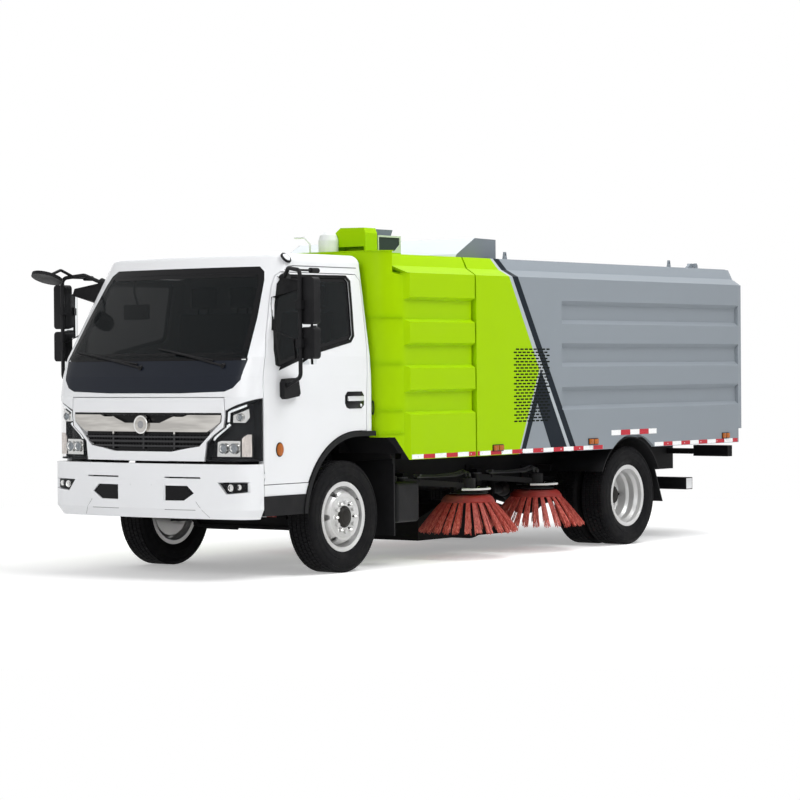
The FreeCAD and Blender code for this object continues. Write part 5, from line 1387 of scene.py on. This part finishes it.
class RoofLamp(SidePieces):
    """The small lamp on the roof's edge over the door."""

    PLACE = (-2.80, 2.345)
    LEAN = math.radians(50)

    def build(self) -> None:
        """Makes the rim and the dome."""
        spot = Skin("cab_shell").from_side(self.side, *self.PLACE)
        out = Matrix.Translation(spot) @ Matrix.Rotation(self.sign * self.LEAN, 4, "Y")
        self.mould(f"roof_lamp_rim_{self.hand}", "cab", "black_plastic").lathe(
            [(0.046, -0.006), (0.046, 0.004), (0.040, 0.009), (0.034, 0.009), (0.034, -0.006)], out, 32).done()
        self.mould(f"roof_lamp_{self.hand}", "cab", "lamp_white").lathe(
            [(0.0, 0.022), (0.014, 0.020), (0.026, 0.014), (0.034, 0.004), (0.034, -0.004)], out, 32).done()


class DoorTrim(SidePieces):
    """Door handle, side repeater and a grey line of painted shade in the roof groove of one side of the cab."""

    HANDLE_Y = (AXLE_Y - 0.016, AXLE_Y + 0.214)
    HANDLE_Z = (1.228, 1.356)
    REPEATER = (AXLE_Y - 0.790, 0.946)
    GUTTER = [(AXLE_Y - 0.600, 2.258), (AXLE_Y - 0.560, 2.284), (AXLE_Y - 0.50, 2.291), (AXLE_Y + 0.330, 2.291)]

    def build(self) -> None:
        """Makes the handle, lock, repeater and the groove's painted shade."""
        hand, side, sign = self.hand, self.side, self.sign
        door = f"door_{hand}"
        skin = Skin(door)
        (y0, y1), (z0, z1) = self.HANDLE_Y, self.HANDLE_Z
        cup = [(y0 + 0.02, z0 + 0.008), (y0 + 0.05, z0), (y1 - 0.03, z0), (y1, z0 + 0.025), (y1, z1 - 0.03),
               (y1 - 0.025, z1), (y0 + 0.03, z1), (y0, z1 - 0.03), (y0, z0 + 0.04)]
        self.mould(f"handle_cup_{hand}", door, "glass_black").plate(
            skin.side_line(side, cup, 0.0022), self.inward(0.004), 0.001).done()
        x = skin.from_side(side, (y0 + y1) / 2, 1.30).x
        self.mould(f"handle_bar_{hand}", door, "bright_satin").block(
            (x + sign * 0.001, y0 + 0.022, 1.284), (x + sign * 0.020, y1 - 0.018, 1.322), 0.008).done()
        self.mould(f"door_lock_{hand}", door, "bright_satin").lathe(
            [(0.0, 0.006), (0.009, 0.006), (0.012, 0.003), (0.012, -0.002)],
            self.across(skin.from_side(side, y1 - 0.035, 1.252, -0.001)), 20).done()
        self.mould(f"side_repeater_{hand}", door, "amber_lamp").plate(
            skin.side_line(side, oval(*self.REPEATER, 0.036, 0.046, 20), 0.012), self.inward(0.013), 0.004).done()
        self.mould(f"repeater_rim_{hand}", door, "black_plastic").plate(
            skin.side_line(side, oval(*self.REPEATER, 0.043, 0.053, 24), 0.003), self.inward(0.004)).done()
        # A grey ribbon along the roof groove: painted shade in the groove.
        shell = Skin("cab_shell", door)
        line = divided(self.GUTTER, 0.08, closed=False)
        self.mould(f"roof_gutter_{hand}", "cab", "seam_grey").ribbon(
            shell.side_line(side, line, 0.0008), shell.side_line(side, [(y, z - 0.007) for y, z in line], 0.0008),
            self.inward(0.002)).done()


class MirrorGlass(SidePieces):
    """Reflecting faces of one side's outside mirrors."""

    # x, lowest and highest z, half width.
    FACES = ((1.180, 1.780, 2.120, 0.085), (1.180, 1.560, 1.700, 0.080))

    def build(self) -> None:
        """Makes a face for each head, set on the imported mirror's rear."""
        skin = Skin(f"mirror_{self.hand}")
        for number, (x, low, high, half) in enumerate(self.FACES):
            spot = skin.hit((self.sign * x, -1.5, (low + high) / 2), (0.0, -1.0, 0.0))
            if spot:
                self.mould(f"mirror_face_{self.hand}_{number}", f"door_{self.hand}", "mirror_silver").block(
                    (self.sign * x - half, spot.y - 0.001, low), (self.sign * x + half, spot.y + 0.002, high),
                    0.0012).done()


@dataclass
class Cushion:
    """A stuffed seat part: a crowned, seamed cover over foam, swollen by a short cloth simulation."""

    cloth: bpy.types.Material
    name: str
    low: Point
    high: Point
    lean: float
    voxel: float = 0.012
    puff: float = 0.012
    steps: int = 20

    def build(self) -> bpy.types.Object:
        """Makes the cushion.

        Returns:
            Its object.
        """
        low, high = Vector(self.low), Vector(self.high)
        inner = high - low - Vector((self.puff, self.puff, self.puff)) * 1.6
        mesh = bpy.data.meshes.new(self.name)
        part = bmesh.new()
        bmesh.ops.create_cube(part, size=1.0, matrix=Matrix.Diagonal((*inner, 1.0)))
        round_edges(part, min(inner) * 0.22, 4)
        part.transform(Matrix.Translation((low + high) / 2) @ Matrix.Rotation(self.lean, 4, "X"))
        part.to_mesh(mesh)
        part.free()
        piece = bpy.data.objects.new(self.name, mesh)
        bpy.context.scene.collection.objects.link(piece)
        remesh = piece.modifiers.new("even_faces", "REMESH")
        remesh.mode = "VOXEL"
        remesh.voxel_size = self.voxel
        self.bake(piece)
        self.swell(piece)
        self.sew(piece.data)
        smooth = piece.modifiers.new("soft_faces", "SUBSURF")
        smooth.levels = smooth.render_levels = 1
        self.bake(piece)
        piece.data.shade_smooth()
        piece.data.materials.append(self.cloth)
        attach(piece, "cab")
        LOG.info("made %s on cab", self.name)
        return piece

    @staticmethod
    def bake(piece: bpy.types.Object) -> None:
        """Applies every modifier of the piece.

        Args:
            piece: The piece.
        """
        shown = piece.evaluated_get(bpy.context.evaluated_depsgraph_get())
        mesh = bpy.data.meshes.new_from_object(shown)
        piece.modifiers.clear()
        old, piece.data = piece.data, mesh
        bpy.data.meshes.remove(old)

    def swell(self, piece: bpy.types.Object) -> None:
        """Runs the cloth with air pressure, and caps how far a point moves.

        Args:
            piece: The cushion.
        """
        before = [vert.co.copy() for vert in piece.data.vertices]
        cloth = piece.modifiers.new("cloth", "CLOTH")
        cloth.settings.use_pressure = True
        cloth.settings.uniform_pressure_force = 4.0
        cloth.settings.effector_weights.gravity = 0.0
        cloth.point_cache.frame_end = self.steps
        scene = bpy.context.scene
        for number in range(1, self.steps + 1):
            scene.frame_set(number)
        self.bake(piece)
        scene.frame_set(1)
        for vert, start in zip(piece.data.vertices, before):
            move = vert.co - start
            if move.length > self.puff:
                vert.co = start + move * (self.puff / move.length)

    def sew(self, mesh: bpy.types.Mesh) -> None:
        """Presses two sewn channels across the cover.

        Args:
            mesh: The cushion's mesh.
        """
        centre, width = (self.low[0] + self.high[0]) / 2, self.high[0] - self.low[0]
        for vert in mesh.vertices:
            seam = min(abs(abs(vert.co.x - centre) / width - 0.30), 0.2)
            vert.co -= vert.normal * (0.006 * math.exp(-(seam / 0.018) ** 2))


class Seats(Pieces):
    """The driver's seat and the passengers' bench."""

    DRIVER = ((0.225, 0.735), (0.235, 0.725), {"head": (0.350, 0.610)})
    BENCH = ((-0.795, 0.085), (-0.790, 0.080), {"head_outer": (-0.730, -0.470), "head_inner": (-0.330, -0.070)})
    POST_XS = (0.43, 0.53, -0.65, -0.55, -0.25, -0.15)

    def build(self) -> None:
        """Makes the cushions, backs, head rests, bases and posts."""
        cloth = self.palette.made["seat_cloth"]
        for seat, (cushion, back, heads) in (("driver", self.DRIVER), ("bench", self.BENCH)):
            rows = [("cushion", cushion, (-2.665, 1.262), (-2.135, 1.388), math.radians(2)),
                    ("back", back, (-2.185, 1.385), (-2.065, 1.985), math.radians(-10.5)),
                    *((head, span, (-2.070, 1.995), (-1.982, 2.180), 0.0) for head, span in heads.items())]
            for part, (x0, x1), low, high, lean in rows:
                Cushion(cloth, f"{seat}_{part}", (x0, *low), (x1, *high), lean).build()
        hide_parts("seats")
        base = self.mould("seat_bases", "cab", "cabin_grey")
        for x0, x1 in ((0.27, 0.69), (-0.76, 0.05)):
            base.block((x0, -2.62, 1.103), (x1, -2.16, 1.262), 0.012)
        for x in self.POST_XS:
            base.rod((x, -2.045, 1.94), (x, -2.030, 2.02), 0.006)
        base.done()


# Body


class IntakePanel(SidePieces):
    """The perforated air panel of one hopper side: staggered rows of dark slots, painted shade in place of holes."""

    ROWS = 24
    COLUMNS = 8
    PITCH = (0.0629, 0.0252)
    START = (-0.250, 1.080)
    SLOT = (0.050, 0.013)

    def build(self) -> None:
        """Makes the slots, as dark dished capsules a hair proud of the sheet, painted shade in place of holes."""
        skin = Skin("hopper_shell")
        # Dark slot plates: painted shade of the space behind the panel.
        mould = self.mould(f"intake_slots_{self.hand}", "hopper", "slot_dark")
        radius = self.SLOT[1] / 2
        for row in range(self.ROWS):
            z = self.START[1] + (row + 0.5) * self.PITCH[1]
            for column in range(self.COLUMNS):
                y = self.START[0] + (column + 0.5 * (row % 2)) * self.PITCH[0] + self.SLOT[0] / 2
                x = skin.from_side(self.side, y, z, 0.0007).x
                points = []
                for end in (1, -1):
                    for t in (-end * math.pi / 2 + math.pi * k / 4 for k in range(5)):
                        points.append(Vector((x, y + end * (self.SLOT[0] / 2 - radius) + radius * math.cos(t),
                                              z + radius * math.sin(t))))
                mould.plate(points, self.inward(0.0015))
        mould.done(False)


class SideMarks(SidePieces):
    """Red and white reflective tape and orange marker lamps along one side."""

    # Start, end, lowest and highest z.
    RUNS = ((-1.630, 1.070, 0.834, 0.868), (1.205, 1.935, 0.944, 0.988), (1.900, 3.340, 0.834, 0.868))
    FIELD = 0.15
    JOINT = -0.775
    # y, z and length.
    MARKERS = ((-0.482, 0.888, 0.150), (0.917, 0.901, 0.150), (3.120, 0.896, 0.130))

    def build(self) -> None:
        """Makes the tape and the markers."""
        self.tape()
        skin = Skin("hopper_shell")
        lamps = self.mould(f"side_markers_{self.hand}", "hopper", "amber_lamp")
        bases = self.mould(f"marker_bases_{self.hand}", "hopper", "black_plastic")
        for y, z, long in self.MARKERS:
            x = skin.from_side(self.side, y, z).x
            bases.block((x, y - long / 2, z - 0.027), (x + self.sign * 0.006, y + long / 2, z + 0.027), 0.002)
            for start, end in ((y - long / 2 + 0.006, y - 0.006), (y + 0.006, y + long / 2 - 0.006)):
                lamps.block((x + self.sign * 0.004, start, z - 0.021), (x + self.sign * 0.0165, end, z + 0.021), 0.004)
        lamps.done()
        bases.done()

    def tape(self) -> None:
        """The tape, as alternate fields on both body parts."""
        skins = {"chassis": Skin("water_tank"), "hopper": Skin("hopper_shell")}
        moulds = {(body, colour): self.mould(f"tape_{colour}_{body}_{self.hand}", body, f"tape_{colour}")
                  for body in skins for colour in ("red", "white")}
        for start, end, low, high in self.RUNS:
            for number in range(math.ceil((end - start) / self.FIELD)):
                field = start + self.FIELD * number
                for u, v in self.off_the_joint(field, min(end, field + self.FIELD - 0.001)):
                    body = "chassis" if v < self.JOINT else "hopper"
                    x = skins[body].from_side(self.side, (u + v) / 2, (low + high) / 2, 0.0009).x
                    corners = [(u + 0.001, low), (v - 0.001, low), (v - 0.001, high), (u + 0.001, high)]
                    moulds[body, "red" if number % 2 else "white"].plate(
                        [Vector((x, y, z)) for y, z in corners], self.inward(0.0016))
        for mould in moulds.values():
            mould.done(False)

    def off_the_joint(self, start: float, end: float) -> list[Span]:
        """A field's runs on either side of the gap between the two body parts.

        Args:
            start: The field's start.
            end: Its end.

        Returns:
            One or two runs.
        """
        if start < self.JOINT - 0.010 < end:
            runs = ((start, self.JOINT - 0.012), (self.JOINT + 0.012, end))
            return [run for run in runs if run[1] - run[0] > 0.01]
        return [(start, end)]


class RearTape(Pieces):
    """Tape down both edges of the rear door."""

    FIELDS = 8

    def build(self) -> None:
        """Makes the tape's fields."""
        skin = Skin("tailgate")
        moulds = [self.mould(f"tape_{colour}_tailgate", "tailgate", f"tape_{colour}") for colour in ("red", "white")]
        for x in (side.value * 1.045 for side in Side):
            for number in range(self.FIELDS):
                z = 1.10 + 0.15 * number
                y = skin.back_y(x, z + 0.07) + 0.0009
                corners = [(x - 0.022, z), (x + 0.022, z), (x + 0.022, z + 0.148), (x - 0.022, z + 0.148)]
                moulds[number % 2].plate([Vector((u, y, v)) for u, v in corners], behind(-0.0016))
        for mould in moulds:
            mould.done(False)


class RearLamps(SidePieces):
    """Lenses of one tail lamp, and the silver end of the under-run bar."""

    # Name, finish and span in x.
    LENSES = (("red", "red_lamp", (0.935, 1.040)), ("amber", "amber_lamp", (0.820, 0.930)),
              ("white", "lens_glass", (0.700, 0.815)))

    def build(self) -> None:
        """Makes the lenses and the cap."""
        skin = Skin("underrun_and_tail_lamps")
        for name, finish, span in self.LENSES:
            x0, x1 = (self.sign * x for x in span)
            y = skin.back_y((x0 + x1) / 2, 0.75)
            self.mould(f"tail_lens_{name}_{self.hand}", "chassis", finish).block(
                (x0, y - 0.004, 0.708), (x1, y + 0.009, 0.792), 0.006).done()
        self.mould(f"underrun_cap_{self.hand}", "chassis", "bright_satin").block(
            (self.sign * 1.0395, 2.566, 0.436), (self.sign * 1.0515, 2.664, 0.529), 0.003).done()


class BodyTrim(SidePieces):
    """The cab's latch ring and the bolt heads along the body's low edge."""

    LATCH = (0.952, -1.885, 1.230)
    LINKS = 20
    BOLT_ROWS = (("chassis", "water_tank", -1.55, -0.85), ("hopper", "hopper_shell", -0.70, 3.25))
    BOLT_Z = 0.8505
    BOLT_PITCH = 0.28
    ARCH = (0.99, 2.12)

    def build(self) -> None:
        """Makes the ring and the bolt heads."""
        x, y, z = self.LATCH
        ring = self.mould(f"latch_ring_{self.hand}", "cab", "black_plastic")
        knots = [(self.sign * x, *knot) for knot in divided(oval(y, z, 0.012, 0.052, self.LINKS), 1.0)]
        for start, end in zip(knots, knots[1:]):
            ring.rod(start, end, 0.0045, 8)
        ring.done()
        for body, node, start, end in self.BOLT_ROWS:
            skin = Skin(node)
            mould = self.mould(f"edge_bolts_{body}_{self.hand}", body, "bright_satin")
            count = int((end - start) / self.BOLT_PITCH)
            for y in (start + (end - start) * k / count for k in range(count + 1)):
                if not self.ARCH[0] < y < self.ARCH[1]:
                    mould.lathe([(0.0, 0.0042), (0.004, 0.0036), (0.0058, 0.0012), (0.006, 0.0)],
                                self.across(skin.from_side(self.side, y, self.BOLT_Z, -0.0005)), 10)
            mould.done()


@dataclass
class Studio:
    """Pale floor and backdrop, soft lamps, and the camera at the photograph's place."""

    camera_place: Point = (13.4727, -18.3005, 1.5426)
    yaw: float = 36.76
    pitch: float = -0.71
    roll: float = -0.45
    focal_px: float = 2722.63
    image_px: float = 800.0
    sensor: float = 36.0
    sky: float = 0.36
    floor_size: float = 60.0
    floor_lift: float = 0.33
    floor_fade: Span = (5.0, 9.0)
    aim: Point = (0.0, 0.0, 1.2)
    # Place, power and size.
    lamp_rows: tuple[tuple[str, Point, float, float], ...] = (
        ("key_lamp", (10.0, -1.0, 13.0), 1050.0, 6.0), ("front_lamp", (3.0, -16.0, 7.0), 760.0, 8.0),
        ("top_lamp", (2.0, 2.0, 11.0), 760.0, 7.0), ("far_lamp", (-12.0, 6.0, 9.0), 300.0, 9.0))

    def build(self) -> None:
        """Makes the whole studio."""
        self.floor()
        self.world()
        self.lamps()
        self.camera()
        LOG.info("set up the studio")

    @staticmethod
    def blend(tree: bpy.types.NodeTree, share: Socket, first: bpy.types.Node, second: bpy.types.Node) -> bpy.types.Node:
        """Mixes two shaders.

        Args:
            tree: The node tree.
            share: How much of the second one shows.
            first: One shader's node.
            second: The other's.

        Returns:
            The mix's node.
        """
        mix = tree.nodes.new("ShaderNodeMixShader")
        for socket, source in zip(mix.inputs, (share, first.outputs[0], second.outputs[0])):
            tree.links.new(source, socket)
        return mix

    @staticmethod
    def seen(tree: bpy.types.NodeTree) -> Socket:
        """Tells what the camera, a reflection or a look through glass sees.

        Args:
            tree: The node tree.

        Returns:
            A value that is 1 there.
        """
        path = tree.nodes.new("ShaderNodeLightPath")
        value = path.outputs["Is Camera Ray"]
        for name in ("Is Glossy Ray", "Is Transmission Ray"):
            either = tree.nodes.new("ShaderNodeMath")
            either.operation = "MAXIMUM"
            tree.links.new(value, either.inputs[0])
            tree.links.new(path.outputs[name], either.inputs[1])
            value = either.outputs[0]
        return value

    def floor(self) -> None:
        """A pale floor that shows as white far out and keeps the truck's shadow near it."""
        bpy.ops.mesh.primitive_plane_add(size=self.floor_size, location=(0.0, 0.0, 0.0))
        plane = bpy.context.active_object
        plane.name = "studio_floor"
        shader = Shader("studio_floor")
        shader.settings(Base_Color=(0.90, 0.90, 0.90), Roughness=1.0, Specular_IOR_Level=0.0)
        lift, white = (shader.add("ShaderNodeEmission") for _ in range(2))
        shader.link(self.floor_lift, lift.inputs["Strength"])
        near = shader.add("ShaderNodeAddShader")
        shader.link(shader.surface.outputs[0], near.inputs[0])
        shader.link(lift.outputs[0], near.inputs[1])
        far = shader.distance(*shader.axes[:2])
        fade = self.blend(shader.tree, shader.spread(far, *self.floor_fade, 0.0, 1.0), near, white)
        seen = self.blend(shader.tree, self.seen(shader.tree), shader.surface, fade)
        shader.link(seen.outputs[0], shader.tree.nodes["Material Output"].inputs["Surface"])
        plane.data.materials.append(shader.material)

    def world(self) -> None:
        """Even light all round, and white where the camera or a reflection sees it."""
        world = bpy.data.worlds.new("studio_world")
        bpy.context.scene.world = world
        world.use_nodes = True
        tree = world.node_tree
        light, white = tree.nodes["Background"], tree.nodes.new("ShaderNodeBackground")
        for node, strength in ((light, self.sky), (white, 1.0)):
            node.inputs["Color"].default_value = (1.0, 1.0, 1.0, 1.0)
            node.inputs["Strength"].default_value = strength
        mix = self.blend(tree, self.seen(tree), light, white)
        tree.links.new(mix.outputs[0], tree.nodes["World Output"].inputs["Surface"])

    def lamps(self) -> None:
        """A high soft key, and weaker lamps in front, above and behind."""
        for name, place, power, size in self.lamp_rows:
            data = bpy.data.lights.new(name, "AREA")
            data.energy = power
            data.size = size
            lamp = bpy.data.objects.new(name, data)
            bpy.context.scene.collection.objects.link(lamp)
            lamp.location = place
            lamp.rotation_euler = (Vector(self.aim) - Vector(place)).to_track_quat("-Z", "Y").to_euler()

    def camera(self) -> None:
        """The camera at the photograph's place, turn and focal length."""
        data = bpy.data.cameras.new("photo_camera")
        data.sensor_width = self.sensor
        data.lens = self.focal_px * self.sensor / self.image_px
        camera = bpy.data.objects.new("photo_camera", data)
        bpy.context.scene.collection.objects.link(camera)
        turn = Matrix()
        for angle, axis in ((self.yaw, "Z"), (90.0 + self.pitch, "X"), (self.roll, "Z")):
            turn = turn @ Matrix.Rotation(math.radians(angle), 4, axis)
        camera.matrix_world = Matrix.Translation(Vector(self.camera_place)) @ turn
        bpy.context.scene.camera = camera
        bpy.context.scene.view_settings.view_transform = "Standard"


def build_sides(palette: Palette, *kinds: type[SidePieces]) -> None:
    """Builds sub-assemblies on the left, then on the right.

    Args:
        palette: The finishes.
        *kinds: The sub-assemblies' classes.
    """
    for side in Side:
        for kind in kinds:
            kind(palette, side).build()


def main() -> None:
    """Dresses the frame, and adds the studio."""
    logging.basicConfig(level=logging.INFO, format="%(name)s: %(message)s")
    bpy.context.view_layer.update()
    palette = Palette()
    palette.dress_nodes()
    Seats(palette).build()
    build_sides(palette, Wheels)
    build_sides(palette, SweepingGear)
    GlassTrim(palette).build()
    FrontTrim(palette).build()
    build_sides(palette, MirrorGlass)
    build_sides(palette, HeadLamp, DoorTrim)
    build_sides(palette, IntakePanel)
    build_sides(palette, SideMarks)
    RearTape(palette).build()
    build_sides(palette, RearLamps)
    build_sides(palette, BodyTrim)
    Studio().build()


if __name__ == "__main__":
    main()
